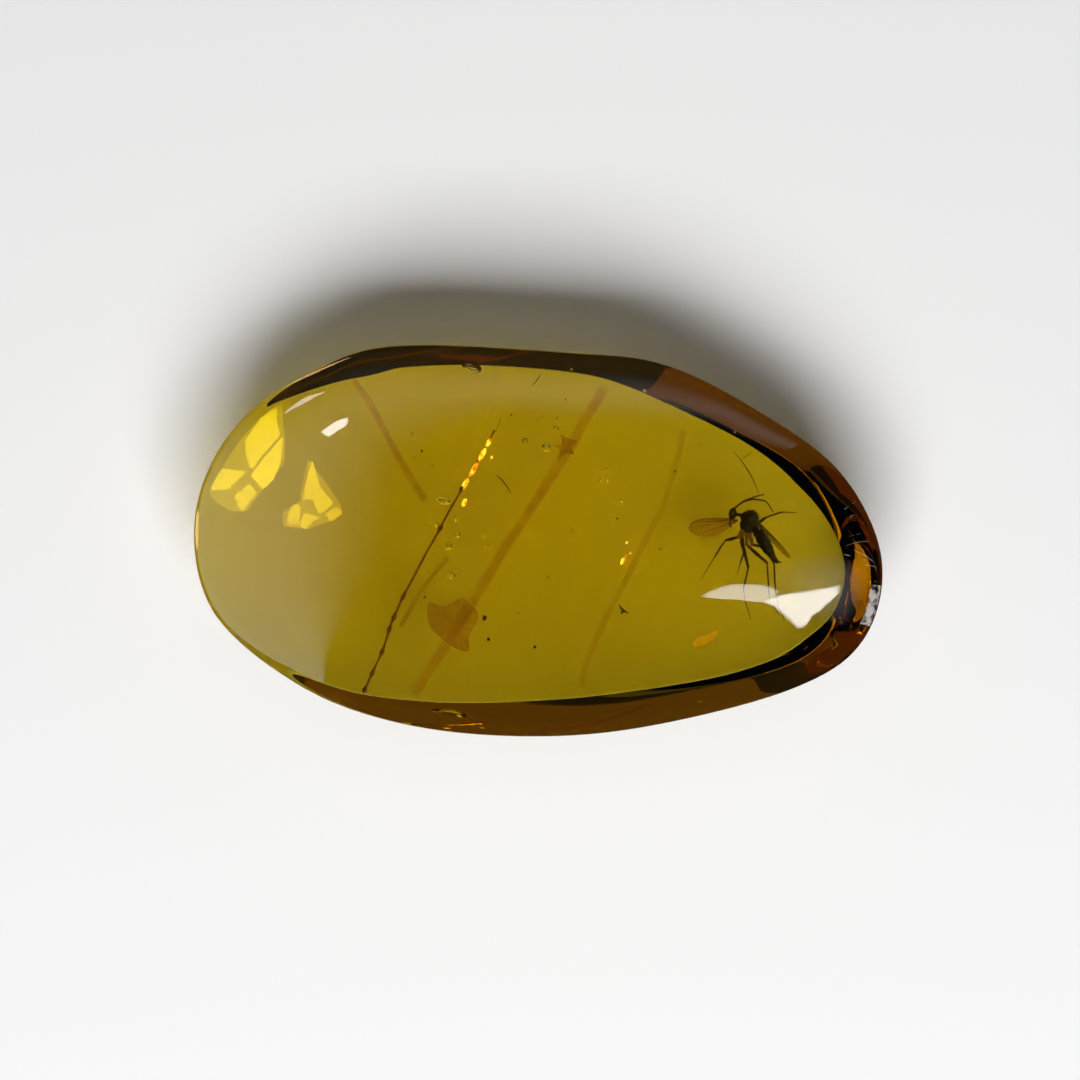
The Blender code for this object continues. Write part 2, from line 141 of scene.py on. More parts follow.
# A leg's coxa, femur, tibia and tarsus each run from one of these points to the next
LEGS = {
    "fore_near": [
        [(-0.22, -0.22, 0.10), (-0.42, -0.57, 0.18)],
        [(-0.42, -0.57, 0.18), (-0.66, -0.63, 0.23), (-0.90, -0.67, 0.24)],
        [(-0.90, -0.67, 0.24), (-1.10, -0.92, 0.21), (-1.27, -1.17, 0.16)],
        [(-1.27, -1.17, 0.16), (-1.57, -1.62, 0.03), (-1.84, -2.06, -0.10)],
    ],
    "fore_far": [
        [(-0.20, -0.22, -0.12), (-0.34, -0.60, -0.22)],
        [(-0.34, -0.60, -0.22), (-0.30, -0.85, -0.28), (-0.22, -1.10, -0.32)],
        [(-0.22, -1.10, -0.32), (-0.34, -1.45, -0.34)],
        [(-0.34, -1.45, -0.34), (-0.48, -1.90, -0.34)],
    ],
    "mid_near": [
        [(-0.16, -0.26, 0.12), (-0.24, -0.55, 0.22)],
        [(-0.24, -0.55, 0.22), (-0.21, -0.91, 0.28), (0.00, -1.68, 0.32)],
        [(0.00, -1.68, 0.32), (-0.18, -2.41, 0.20)],
        [(-0.18, -2.41, 0.20), (-0.13, -2.86, 0.08), (0.11, -3.51, -0.10)],
    ],
    "mid_far": [
        [(0.00, -0.18, -0.14), (0.10, -0.34, -0.36)],
        [(0.10, -0.34, -0.36), (0.31, -0.10, -0.44), (0.60, 0.11, -0.46)],
        [(0.60, 0.11, -0.46), (1.22, 0.31, -0.40)],
        [(1.22, 0.31, -0.40), (1.84, 0.31, -0.30)],
    ],
    "hind_near": [
        [(-0.08, -0.32, 0.08), (-0.08, -0.84, 0.20)],
        [(-0.08, -0.84, 0.20), (0.29, -1.16, 0.26), (0.74, -1.51, 0.28)],
        [(0.74, -1.51, 0.28), (0.81, -2.54, 0.16)],
        [(0.81, -2.54, 0.16), (0.90, -2.95, 0.10), (1.24, -3.40, 0.06)],
    ],
    "hind_far": [
        [(-0.02, -0.32, -0.10), (0.10, -0.86, -0.24)],
        [(0.10, -0.86, -0.24), (0.55, -0.99, -0.32), (0.96, -1.51, -0.30)],
        [(0.96, -1.51, -0.30), (1.03, -2.54, -0.20)],
        [(1.03, -2.54, -0.20), (1.15, -3.00, -0.20), (1.40, -3.52, -0.18)],
    ],
}
LIMB_RADII = {
    "coxa": (0.085, 0.065), "femur": (0.045, 0.068, 0.045), "tibia": (0.030, 0.034), "tarsus": (0.024, 0.013),
}
TARSUS_SEGMENTS = 5

# A wing along its axis and across it: its front and hind edges, and its veins
WING_FRONT = [(0.0, 0.04), (0.40, 0.10), (1.00, 0.14), (1.50, 0.12), (1.82, 0.00), (1.95, -0.17)]
WING_HIND = [
    (0.0, -0.05), (0.20, -0.12), (0.52, -0.36), (0.95, -0.53), (1.45, -0.53), (1.84, -0.36), (1.95, -0.17),
]
VEINS = [
    ([(0.00, 0.02), (0.40, 0.08), (1.00, 0.12), (1.50, 0.10), (1.80, -0.01), (1.88, -0.08)], 0.020),
    ([(0.05, 0.00), (0.45, 0.04), (0.90, 0.06), (1.15, 0.12)], 0.015),
    ([(0.45, 0.04), (0.75, 0.00), (1.20, 0.02), (1.62, 0.03)], 0.014),
    ([(0.10, -0.02), (0.60, -0.07), (1.10, -0.09), (1.90, -0.16)], 0.010),
    ([(1.10, -0.09), (1.50, -0.19), (1.88, -0.29)], 0.008),
    ([(0.10, -0.04), (0.50, -0.14), (1.00, -0.27), (1.62, -0.46)], 0.010),
    ([(0.50, -0.14), (0.85, -0.33), (1.10, -0.52)], 0.009),
    ([(0.08, -0.05), (0.35, -0.17), (0.60, -0.36)], 0.008),
]
WINGS = {
    "far": ((-0.46, 0.02, -0.22), (-2.56, -0.04, -0.36), (0.02, 1.0, -0.18)),
    "near": ((0.26, 0.04, -0.24), (1.60, -1.28, -0.40), (0.28, 0.30, 0.92)),
}
HALTERES = [
    [(0.28, -0.10, side * 0.24), (0.38, -0.19, side * 0.34), (0.43, -0.24, side * 0.38)]
    for side in (-1, 1)
]

# The thread, seen from above; it lies level with the girdle
THREAD_ROUTE = [
    (-1.79, 3.97), (-2.55, 2.63), (-3.13, 1.73), (-3.83, 0.51), (-4.45, -0.58), (-5.00, -1.53),
    (-5.38, -2.22), (-5.76, -3.11), (-6.14, -4.12), (-6.53, -4.89), (-6.99, -5.83),
]
THREAD_BEADS = (2.35, 4.05, 6.90, 7.75, 8.25, 9.15, 10.1, 10.9)
THREAD_STATIONS = 360
GLOWING_START = 0.35  # of the stretch with a painted glow, along the thread from its upper end
GLOWING_LENGTH = 2.1  # of the thread's upper end, where it is split off from the resin; its flakes carry a painted glow
GLOWING_BREAKS = (0.42, 0.98, 1.55)
# Loose flakes with a painted glow: seen places, heights, sizes and turns in degrees
PAINTED_SPARKS = [
    (-2.98, 1.55, 4.5, 0.16, 60), (3.40, -0.83, 4.6, 0.13, 60), (3.57, -0.10, 4.7, 0.07, 60),
    (3.73, -0.51, 4.7, 0.07, 60), (3.52, -0.62, 4.6, 0.05, 60), (-1.9, 3.35, 4.5, 0.08, 60),
]
CRESCENT_PLACE = (6.62, -3.52, 4.05)  # a curved crack, with a painted reflection of warm light
CRESCENT_OUTLINE = [
    (-0.56, -0.20), (-0.20, -0.24), (0.22, -0.06), (0.46, 0.22), (0.36, 0.28), (0.06, 0.14),
    (-0.28, 0.06),
]

# The scrap of leaf, from its middle, and the line along which it is creased
SCRAP_PLACE = (-3.25, -2.99, 4.1)
SCRAP_OUTLINE = [
    (0.58, 0.68), (0.86, 0.42), (0.85, 0.06), (0.55, -0.42), (0.52, -0.98), (0.22, -0.98), (-0.05, -0.88),
    (-0.40, -0.66), (-0.72, -0.40), (-0.98, -0.14), (-1.07, 0.25), (-1.05, 0.74), (-0.70, 0.66),
    (-0.42, 0.62), (-0.12, 0.75), (0.14, 0.87), (0.36, 0.92),
]
SCRAP_CREASE = ((-0.6, -0.9), (0.5, 0.8))

# Flow bands, where one run of resin met the next, and a painted shadow of the thread beside it: the solid
# that each stands for, if any, its height, width and strength, and its route
BANDS = {
    "main_band": ("flow_band_main", 3.52, 0.52, 1.0, [
        (2.70, 5.55), (1.84, 4.20), (1.21, 3.21), (-0.73, 0.59), (-2.28, -1.78), (-3.60, -3.69),
        (-4.95, -5.65)]),
    "left_band": ("flow_band_left", 3.98, 0.38, 0.90, [
        (-7.38, 6.15), (-6.60, 5.06), (-5.62, 3.32), (-4.64, 1.80), (-4.35, 1.48)]),
    "right_band": ("flow_band_right", 3.98, 0.38, 0.52, [
        (5.66, 4.10), (5.05, 1.73), (4.37, 0.34), (3.61, -1.11), (2.62, -2.84), (1.83, -4.48),
        (1.66, -5.50)]),
    # A painted shadow of the thread, beside it, drawn as a faint band of darker film
    "painted_thread_shadow": (None, 4.45, 0.24, 0.85, [(-3.52, -0.62), (-4.36, -1.52), (-5.05, -2.60), (-5.42, -3.20)]),
}
SPLASH_PLACE = (0.98, 3.28, 3.75)  # a star of resin that was splashed on the main band
SPLASH_OUTLINE = [
    (0.20, 0.30), (-0.10, 0.46), (0.02, 0.14), (-0.42, 0.06), (-0.12, -0.10), (-0.20, -0.42),
    (0.12, -0.22), (0.44, -0.24), (0.28, 0.02), (0.56, 0.20),
]

SPECKS = [
    (-2.17, -3.15, 0.14), (-2.01, -4.00, 0.12), (-0.14, -4.29, 0.10), (3.40, -2.91, 0.10),
    (5.52, 2.79, 0.08), (-4.61, -2.30, 0.07), (-4.69, 3.60, 0.07), (-5.02, 3.36, 0.06),
    (-4.28, 3.03, 0.05), (0.30, -1.60, 0.05), (-1.10, 5.10, 0.05), (1.10, 5.70, 0.06), (6.60, 3.90, 0.05),
    (3.20, 0.90, 0.06), (-0.80, -2.90, 0.04),
]
HAIRS = [
    ([(-1.72, 2.66), (-1.48, 2.46), (-1.27, 2.18), (-1.11, 1.93)], 5.6, 0.024),
    ([(0.11, 6.73), (-0.05, 6.49), (-0.26, 6.24)], 5.6, 0.024),
    ([(7.90, 3.62), (8.36, 3.03), (8.69, 2.46), (8.92, 1.90)], 4.6, 0.022),
    ([(8.24, 3.27), (8.44, 3.44), (8.69, 3.60)], 4.6, 0.012),
    ([(3.24, -2.58), (3.40, -2.80), (3.65, -2.95)], 4.8, 0.040),
    ([(-1.74, 4.38), (-1.62, 4.68), (-1.52, 4.98)], 4.2, 0.012),
]

# The worn blunt end: a rubbed facet by the girdle, between two directions from the middle and two shares of
# the girdle's distance, and the fine scratches beside it, seen from above
FACET = (-7.5, -14.5, 0.965, 0.996)
FACET_LIFT = 0.006  # height of the rubbed film over the dome
SCRATCHES = [
    [(12.39, 1.26), (12.88, 1.57)], [(12.57, 0.16), (13.06, 0.29)],
    [(12.45, -0.20), (12.98, -0.06), (13.49, -0.02)], [(12.76, -0.39), (13.20, -0.58), (13.61, -0.87)],
    [(13.06, -0.93), (13.45, -1.02), (13.75, -1.06)], [(12.60, 0.95), (12.95, 1.12)],
    [(12.30, -0.55), (12.62, -0.62)],
]

# The pale wall: directions from the pebble, and the elevations of its top and its foot there, in degrees
SCREEN = [
    (52, 0, -30), (58, 12, -30), (65, 27, -30), (76, 31, -30), (86, 32, -30), (92, 43, -30),
    (108, 54, -30), (120, 58, -30), (130, 63, -26), (140, 67, -20), (160, 71, -17), (178, 72, -16),
    (196, 69, -16), (213, 62, -18), (224, 54, -20), (232, 38, -14), (237, 12, -9), (240, -3, -8),
]
# Bright panes, seen only by reflection or only through the pebble: directions and elevations of their corners
GLARE_PANES = {
    "glare_body": (15.0, [
        (-18, 50), (-18, 45), (-14, 40), (-9, 34), (-7, 25), (-11, 24), (-18, 28), (-21, 31), (-28, 31),
        (-36, 29), (-40, 30), (-36, 38), (-29, 45), (-27, 51)]),
    "glare_streak": (8.0, [(-42, 62), (-26, 62), (-18, 59), (-14, 50), (-18, 45), (-28, 48), (-31, 54)]),
    "glare_spot": (14.0, [
        (129.5, 29), (126, 27.5), (123, 26.5), (121, 27), (123, 31), (126, 32), (130, 33.5)]),
    "glare_line": (6.0, [(130, 4), (123, 2), (119, 5), (119, 7), (124, 7), (130, 7)]),
}
# Softer light round the window's panes, seen only through the pebble
WINDOW_GLOWS = {
    "window_glow": (5.5, [
        (-33, 46), (-44, 43), (-49, 46), (-42, 58), (-31, 65), (-20, 65), (-9, 62), (-9, 56), (-14, 40),
        (-23, 43)]),
    "inner_glow": (5.5, [
        (-36, 68), (-28, 74), (-19, 77), (-10, 77), (-3, 74), (-4, 70), (-11, 69.5), (-18, 71.5)]),
}
# Warm light near the table, which lifts two stretches of the rim by reflection
RIM_GLOWS = {
    "rim_glow_upper": (5.5, [(127, -32), (119, -26), (111, -28), (110, -36), (119, -38), (127, -44)]),
    "rim_glow_left": (7.0, [(172, -12), (184, -10), (185, -26), (171, -28)]),
}
# A faint wide card behind the bright panes, reflected round them
HAZE_CARD = (1.05, [(-30, 12), (-14, 8), (2, 12), (10, 26), (6, 44), (-6, 52), (-18, 50), (-30, 38)])
HAZE_REACH = 640  # distance of the haze card and of the glows, behind the panes
# The window's panes, seen only through the pebble, by way of its flat back
WINDOW_PANES = {
    "upper": (17.8, [(-33, 47), (-42, 44), (-47, 46), (-40, 58), (-26, 58)]),
    "left": (17.8, [(-30, 48), (-25, 57), (-17, 54), (-13, 52), (-15, 40), (-23, 44)]),
    "right": (19.2, [(-40, 59), (-31, 64), (-24, 65), (-20, 64), (-24, 59)]),
    "lower": (16.3, [(-21, 60), (-18, 63), (-9, 61), (-11, 59), (-15, 57)]),
    "inner_top": (16.3, [(-31, 70), (-36, 69), (-27, 73), (-21, 74), (-19, 72)]),
    "inner_right": (16.3, [(-27, 73), (-20, 76), (-12, 75), (-18, 73.5)]),
    "inner_left": (16.3, [(-16, 71), (-15, 72), (-5, 72.5), (-5, 71), (-11, 70.5)]),
    "inner_low": (16.3, [(-12, 73), (-10, 75), (-3, 73.5), (-5, 72.5)]),
    "inner_tip": (14.8, [(-18, 76.5), (-15, 77.5), (-8, 76.5), (-13, 75.5)]),
}
PANE_REACH = 600
PANE_EDGE = 0.96  # share of a pane's half width at which its light starts to fade
GLARE_EDGE = 0.75
RIM_GLOW_EDGE = 0.5
HAZE_EDGE = 0.1
RIM_GLOW_COLOUR = (1.0, 0.60, 0.26)
SCREEN_REACH = 700
CAMERA_PLACE = (0.068, 0.021)
CAMERA_HEIGHT = 250.0
VIEW_WIDTH = 43.92  # of what the square frame shows at the girdle
SENSOR = 36.0


# ---------------------------------------------------------------- settings


def colour_setting(name, description, default):
    """A colour that a user can change."""
    return bpy.props.FloatVectorProperty(
        name=name, description=description, subtype="COLOR", size=3, default=default)


class PebbleSettings(bpy.types.PropertyGroup):
    """Sizes, light path and colour of the amber."""

    girdle_height: bpy.props.FloatProperty(
        name="Girdle height", description="Height of the widest level over the back, in millimetres",
        default=4.1)
    dome_fullness: bpy.props.FloatProperty(
        name="Dome fullness", description="How flat the dome is on top; 2 is an ellipse", default=2.4)
    dome_edge: bpy.props.FloatProperty(
        name="Dome edge", description="How steeply the dome meets the girdle; 2 is an ellipse, 1 a lens",
        default=1.3)
    back_slope: bpy.props.FloatProperty(
        name="Back edge slope", description="Slope at which the under bevel leaves the flat back",
        default=math.radians(46), subtype="ANGLE")
    swell: bpy.props.FloatProperty(
        name="Swell", description="Height of the slow waves that hand polishing leaves, in millimetres",
        default=0.02)
    ior: bpy.props.FloatProperty(name="IOR", description="Refractive index of amber", default=1.54)
    tint: colour_setting("Tint", "Colour that passes the resin", (0.984, 0.957, 0.63))
    depth_of_tint: bpy.props.FloatProperty(
        name="Depth of tint", description="Absorption for each metre of path", default=1000.0)


class GnatSettings(bpy.types.PropertyGroup):
    """Colours of the gnat."""

    body: colour_setting("Body", "Colour of the thorax, head and abdomen", (0.012, 0.006, 0.004))
    limbs: colour_setting("Limbs", "Colour of the legs and antennae", (0.045, 0.018, 0.007))
    joints: colour_setting("Joints", "Paler colour of the coxae and halteres", (0.26, 0.15, 0.07))
    wings: colour_setting("Wings", "Colour of the wing membrane", (0.42, 0.11, 0.0))
    wing_cover: bpy.props.FloatProperty(
        name="Wing cover", description="How much of the light a wing holds back",
        default=0.24, subtype="FACTOR")


class InclusionSettings(bpy.types.PropertyGroup):
    """Colours of what else lies in the amber."""

    thread: colour_setting("Thread", "Colour of the plant thread", (0.11, 0.045, 0.003))
    # Colour of the flakes that carry the painted glow
    glow: colour_setting("Flash", "Colour of the split flakes that flash", (1.0, 0.34, 0.02))
    leaf: colour_setting("Leaf", "Colour of the scrap of leaf", (0.40, 0.13, 0.0))
    leaf_cover: bpy.props.FloatProperty(
        name="Leaf cover", description="How much of the light the scrap holds back",
        default=0.34, subtype="FACTOR")
    band: colour_setting("Flow band", "Colour of the flow bands", (0.62, 0.24, 0.0))
    band_cover: bpy.props.FloatProperty(
        name="Band cover", description="How much of the light the strongest flow band holds back",
        default=0.27, subtype="FACTOR")
    dust: colour_setting("Dust", "Colour of specks and hairs", (0.03, 0.015, 0.006))


class StageSettings(bpy.types.PropertyGroup):
    """The table and the light."""

    table: colour_setting("Table", "Colour of the table", (0.86, 0.86, 0.86))
    table_width: bpy.props.FloatProperty(
        name="Table width", description="Width of the table", default=0.8, unit="LENGTH")
    surroundings: bpy.props.FloatProperty(
        name="Surroundings", description="Brightness of the dim room", default=0.015)


# ---------------------------------------------------------------- modelling


def pick(*things):
    """Selects these objects alone; the last is the active one."""
    bpy.ops.object.select_all(action="DESELECT")
    for thing in things:
        thing.select_set(True)
    bpy.context.view_layer.objects.active = things[-1]


@contextmanager
def editing(thing):
    """The thing's mesh in edit mode, for selecting in code and for the edit operators."""
    pick(thing)
    bpy.ops.object.mode_set(mode="EDIT")
    yield bmesh.from_edit_mesh(thing.data)
    bpy.ops.object.mode_set(mode="OBJECT")


def settle():
    """Applies the active object's place, turn and size to its mesh."""
    bpy.ops.object.transform_apply(location=True, rotation=True, scale=True)


def joined(things):
    pick(*things)
    if len(things) > 1:
        bpy.ops.object.join()
    return bpy.context.object


def with_modifier(thing, kind, **settings):
    """Adds a modifier and applies it."""
    pick(thing)
    bpy.ops.object.modifier_add(type=kind)
    modifier = thing.modifiers[-1]
    for name, value in settings.items():
        setattr(modifier, name, value)
    bpy.ops.object.modifier_apply(modifier=modifier.name)
    return thing


def in_finish(thing, finish):
    thing.data.materials.clear()
    thing.data.materials.append(finish)
    return thing


def finished(thing, name, slot, *nodes, place=(0, 0, 0), smooth_to=40):
    """Brings a piece to metres, names it, and hands it to the frame in place of its solids."""
    pick(thing)
    thing.location = Vector(place) * MM
    thing.scale = (MM, MM, MM)
    settle()
    bpy.ops.object.shade_smooth_by_angle(angle=math.radians(smooth_to))
    thing.name = name
    thing.data.name = name
    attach(thing, "root")
    if nodes:
        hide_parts(*nodes)


def ball(middle, half_sizes, turn=0.0, segments=24, rings=14):
    bpy.ops.mesh.primitive_uv_sphere_add(segments=segments, ring_count=rings, radius=1, location=middle)
    thing = bpy.context.object
    thing.scale = half_sizes
    thing.rotation_euler.z = math.radians(turn)
    settle()
    return thing


def smooth_curve(points, steps, closed=False):
    """Points of the smooth curve through the given ones: a Catmull-Rom spline."""
    points = [Vector(point) for point in points]
    count = len(points)
    if not closed:
        points = [2 * points[0] - points[1], *points, 2 * points[-1] - points[-2]]
    curve = []
    for span in range(count if closed else count - 1):
        if closed:
            before, start, end, after = (points[(span + turn) % count] for turn in (-1, 0, 1, 2))
        else:
            before, start, end, after = points[span : span + 4]
        for step in range(steps):
            part = step / steps
            curve.append(0.5 * (
                2 * start
                + (end - before) * part
                + (2 * before - 5 * start + 4 * end - after) * part**2
                + (3 * start - before - 3 * end + after) * part**3
            ))
    return curve if closed else [*curve, points[-2]]


def between(values, part):
    """The value at a part, from 0 to 1, of an evenly spaced list."""
    at = min(max(part, 0), 1) * (len(values) - 1)
    low = min(int(at), len(values) - 2)
    return values[low] + (values[low + 1] - values[low]) * (at - low)


def distances_along(path):
    run = [0.0]
    for start, end in zip(path, path[1:]):
        run.append(run[-1] + (end - start).length)
    return run


def spaced(path, count):
    """Points evenly spaced along a path."""
    run = distances_along(path)
    points = []
    for step in range(count):
        stop = run[-1] * step / (count - 1)
        after = min(max(bisect.bisect_left(run, stop), 1), len(path) - 1)
        share = (stop - run[after - 1]) / max(run[after] - run[after - 1], 1e-9)
        points.append(path[after - 1].lerp(path[after], share))
    return points


def rod(points, radii, sides=10):
    """A tube along the points, each with its own radius, and closed at both ends."""
    bpy.ops.curve.primitive_bezier_curve_add(location=(0, 0, 0))
    curve = bpy.context.object.data
    curve.splines.clear()
    spline = curve.splines.new("POLY")
    spline.points.add(len(points) - 1)
    for knot, point, radius in zip(spline.points, points, radii):
        knot.co = (*point, 1)
        knot.radius = radius
    curve.dimensions = "3D"
    curve.bevel_depth = 1
    curve.bevel_resolution = sides // 2 - 2
    curve.use_fill_caps = True
    bpy.ops.object.convert(target="MESH")
    return bpy.context.object


# Reach past a limb's end and radius there, both as shares of the radius
ROUND_END = ((0.97, 0.25), (0.80, 0.60), (0.50, 0.87))


def limb(points, radii, count=10, sides=10):
    """A tube through the points with rounded ends, which reach past it by its radius."""
    path = spaced(smooth_curve(points, 6), count)
    sizes = [between(radii, step / (count - 1)) for step in range(count)]
    back, on = (path[0] - path[1]).normalized(), (path[-1] - path[-2]).normalized()
    head = [(path[0] + back * sizes[0] * reach, sizes[0] * share) for reach, share in ROUND_END]
    tail = [(path[-1] + on * sizes[-1] * reach, sizes[-1] * share) for reach, share in reversed(ROUND_END)]
    stations = [*head, *zip(path, sizes), *tail]
    return rod([point for point, _ in stations], [size for _, size in stations], sides)


# ---------------------------------------------------------------- the pebble's form


def pebble_outline():
    """The girdle seen from above, fitted to the solids, and the back's edge inside it."""
    curve = smooth_curve(OUTLINE, OUTLINE_STEPS, closed=True)
    low = Vector(map(min, *(point[:] for point in curve)))
    high = Vector(map(max, *(point[:] for point in curve)))
    solid_low, solid_high = (corner / MM for corner in CAD_BOX)
    stretch = [(solid_high[axis] - solid_low[axis]) / (high[axis] - low[axis]) for axis in (0, 1)]
    middle = (low + high) / 2
    insets = [point.z for point in curve]
    curve = [
        Vector(((point.x - middle.x) * stretch[0], (point.y - middle.y) * stretch[1], 0)) for point in curve
    ]
    count = len(curve)
    back = []
    for index, inset in enumerate(insets):
        along = curve[(index + 1) % count] - curve[index - 1]
        back.append(curve[index] - Vector((along.y, -along.x, 0)).normalized() * inset)
    return curve, back


class Pebble:
    """The pebble's surface, as heights and rings, from its settings."""

    def __init__(self, settings):
        self.settings = settings
        self.thickness = CAD_BOX[1].z / MM
        self.girdle, back = pebble_outline()
        self.back = self.eased(back)
        polar = sorted((math.atan2(point.y, point.x), point.length) for point in self.girdle)
        self.angles = [angle for angle, _ in polar]
        self.reaches = [reach for _, reach in polar]

    @staticmethod
    def eased(points):
        """The back's edge, smoothed, so that the under bevel has no kinks."""
        count = len(points)
        reach = BACK_EASING
        sums = [Vector((0, 0, 0))]
        for index in range(count + 2 * reach + 1):
            sums.append(sums[-1] + points[(index - reach) % count])
        return [(sums[index + 2 * reach + 1] - sums[index]) / (2 * reach + 1) for index in range(count)]

    def reach(self, x, y):
        """The girdle's distance from the middle, in the direction of a point."""
        angle = math.atan2(y, x)
        after = bisect.bisect_left(self.angles, angle) % len(self.angles)
        turn = (self.angles[after] - self.angles[after - 1]) % math.tau
        share = (angle - self.angles[after - 1]) % math.tau / turn
        return self.reaches[after - 1] + (self.reaches[after] - self.reaches[after - 1]) * share

    def dome(self, x, y):
        """The dome's height over a point."""
        share = min(math.hypot(x, y) / self.reach(x, y), 0.9995)
        own = self.settings
        fall = (1 - share**own.dome_fullness) ** (1 / own.dome_edge)
        return own.girdle_height + (self.thickness - own.girdle_height) * fall

    def beneath(self, x, y, height):
        """Where a thing lies that is seen at x, y from straight above, once the dome has bent the view."""
        step = 0.01
        rise = (
            (self.dome(x + step, y) - self.dome(x - step, y)) / (2 * step),
            (self.dome(x, y + step) - self.dome(x, y - step)) / (2 * step),
        )
        normal = Vector((-rise[0], -rise[1], 1)).normalized()
        bend = 1 / self.settings.ior
        onward = math.sqrt(1 - bend**2 * (1 - normal.z**2))
        sight = Vector((0, 0, -bend)) + (bend * normal.z - onward) * normal
        run = (self.dome(x, y) - height) / -sight.z
        return Vector((x + sight.x * run, y + sight.y * run, height))

    def ring(self, index):
        """One ring of stations, counted from the middle of the back up to the top of the dome."""
        own = self.settings
        stations = [side * len(self.girdle) // PEBBLE_SIDES for side in range(PEBBLE_SIDES)]
        girdle = [self.girdle[station] for station in stations]
        back = [self.back[station] for station in stations]
        if index < BACK_RINGS:
            return [point * (index + 1) / BACK_RINGS for point in back]
        index -= BACK_RINGS
        if index < BEVEL_RINGS:
            part = (index + 1) / BEVEL_RINGS
            ring = []
            for low, high in zip(back, girdle):
                heel = (high - low) * BEVEL_HEEL
                knots = (
                    low,
                    low + heel + Vector((0, 0, heel.length * math.tan(own.back_slope))),
                    high + Vector((0, 0, own.girdle_height * BEVEL_KNEE)),
                    high + Vector((0, 0, own.girdle_height)),
                )
                weights = ((1 - part) ** 3, 3 * part * (1 - part) ** 2, 3 * part**2 * (1 - part), part**3)
                ring.append(sum((knot * weight for knot, weight in zip(knots, weights)), Vector((0, 0, 0))))
            return ring
        lift = math.pi / 2 * (index - BEVEL_RINGS + 1) / DOME_RINGS
        share = math.cos(lift) ** (2 / own.dome_fullness)
        rise = self.thickness - own.girdle_height
        height = own.girdle_height + rise * math.sin(lift) ** (2 / own.dome_edge)
        return [point * share + Vector((0, 0, height)) for point in girdle]

    def swollen(self, point):
        """The slow waves of a hand-polished dome, which die out at the girdle."""
        girdle_height = self.settings.girdle_height
        share = max(0, (point.z - girdle_height) / (self.thickness - girdle_height))
        wave = noise.noise(point * 0.16) + 0.4 * noise.noise(point * 0.42 + Vector((7, 3, 1)))
        return point - Vector((0, 0, self.settings.swell * share * (1 + wave)))


# ---------------------------------------------------------------- finishes


class Value:
    """A number that varies over a surface; arithmetic on it adds Math nodes."""

    def __init__(self, finish, socket):
        self.finish = finish
        self.socket = socket

    def maths(self, operation, *operands):
        return self.finish.node("ShaderNodeMath", {"operation": operation}, dict(enumerate(operands)))

    def __add__(self, other):
        return self.maths("ADD", self, other)

    def __sub__(self, other):
        return self.maths("SUBTRACT", self, other)

    def __rsub__(self, other):
        return self.maths("SUBTRACT", other, self)

    def __mul__(self, other):
        return self.maths("MULTIPLY", self, other)

    def __pow__(self, other):
        return self.maths("POWER", self, other)

    def __abs__(self):
        return self.maths("ABSOLUTE", self)

    __radd__ = __add__
    __rmul__ = __mul__

    def stepped(self, low, high):
        """0 below low and 1 above high, smoothly; the other way round where low is the higher."""
        return self.finish.node(
            "ShaderNodeMapRange", {"interpolation_type": "SMOOTHSTEP"},
            {"Value": self, "From Min": min(low, high), "From Max": max(low, high),
             "To Min": 0.0 if low < high else 1.0, "To Max": 1.0 if low < high else 0.0})


class Finish:
    """A Principled material and the nodes that vary it."""

    def __init__(self, name, **sockets):
        self.material = bpy.data.materials.new(name)
        self.material.use_nodes = True
        self.tree = self.material.node_tree
        self.shader = self.tree.nodes["Principled BSDF"]
        self.output = self.tree.nodes["Material Output"]
        for socket, value in sockets.items():
            self.set(self.shader.inputs[socket.replace("_", " ")], value)

    def set(self, socket, value):
        if isinstance(value, Value):
            self.tree.links.new(value.socket, socket)
        elif hasattr(value, "__len__") and socket.type == "RGBA":
            socket.default_value = (*value[:3], 1.0)
        else:
            socket.default_value = value

    def node(self, kind, settings=None, sockets=None, out=0):
        """Any node: its settings are set first, then its sockets."""
        new = self.tree.nodes.new(kind)
        for name, value in (settings or {}).items():
            setattr(new, name, value)
        for socket, value in (sockets or {}).items():
            self.set(new.inputs[socket], value)
        return Value(self, new.outputs[out])

    def feed(self, **sockets):
        for socket, value in sockets.items():
            self.set(self.shader.inputs[socket.replace("_", " ")], value)
        return self

    def place(self):
        return self.node("ShaderNodeTexCoord", out="Object")

    def clouds(self, grain, detail=3.0):
        """Noise with a grain size in millimetres."""
        return self.node("ShaderNodeTexNoise", None, {
            "Vector": self.place(), "Scale": 1 / (grain * MM), "Detail": detail, "Roughness": 0.5})

    def cells(self, grain):
        """Distance from the middles of cells with a size in millimetres."""
        return self.node(
            "ShaderNodeTexVoronoi", None, {"Vector": self.place(), "Scale": 1 / (grain * MM)}, out="Distance")

    def axis(self, coordinates, name):
        return self.node("ShaderNodeSeparateXYZ", None, {0: coordinates}, out=name)

    def mixed(self, share, low, high):
        """Two colours, mixed by a varying share."""
        new = self.tree.nodes.new("ShaderNodeMix")
        new.data_type = "RGBA"
        for socket, value in (("Factor_Float", share), ("A_Color", low), ("B_Color", high)):
            target = next(item for item in new.inputs if item.identifier == socket)
            self.set(target, value)
        return Value(self, next(item for item in new.outputs if item.identifier == "Result_Color"))

    def bumped(self, height, depth):
        """Relief with a depth in millimetres."""
        return self.feed(Normal=self.node(
            "ShaderNodeBump", None, {"Height": height, "Distance": depth * MM, "Strength": 1.0}))


def amber_finish(own):
    """Clear golden resin, polished all over, whose colour comes from its depth alone."""
    finish = Finish("clear_amber", Base_Color=(1, 1, 1), Transmission_Weight=1.0, IOR=own.ior, Roughness=0.0)
    absorption = finish.node(
        "ShaderNodeVolumeAbsorption", None, {"Color": own.tint, "Density": own.depth_of_tint})
    finish.tree.links.new(absorption.socket, finish.output.inputs["Volume"])
    return finish.material


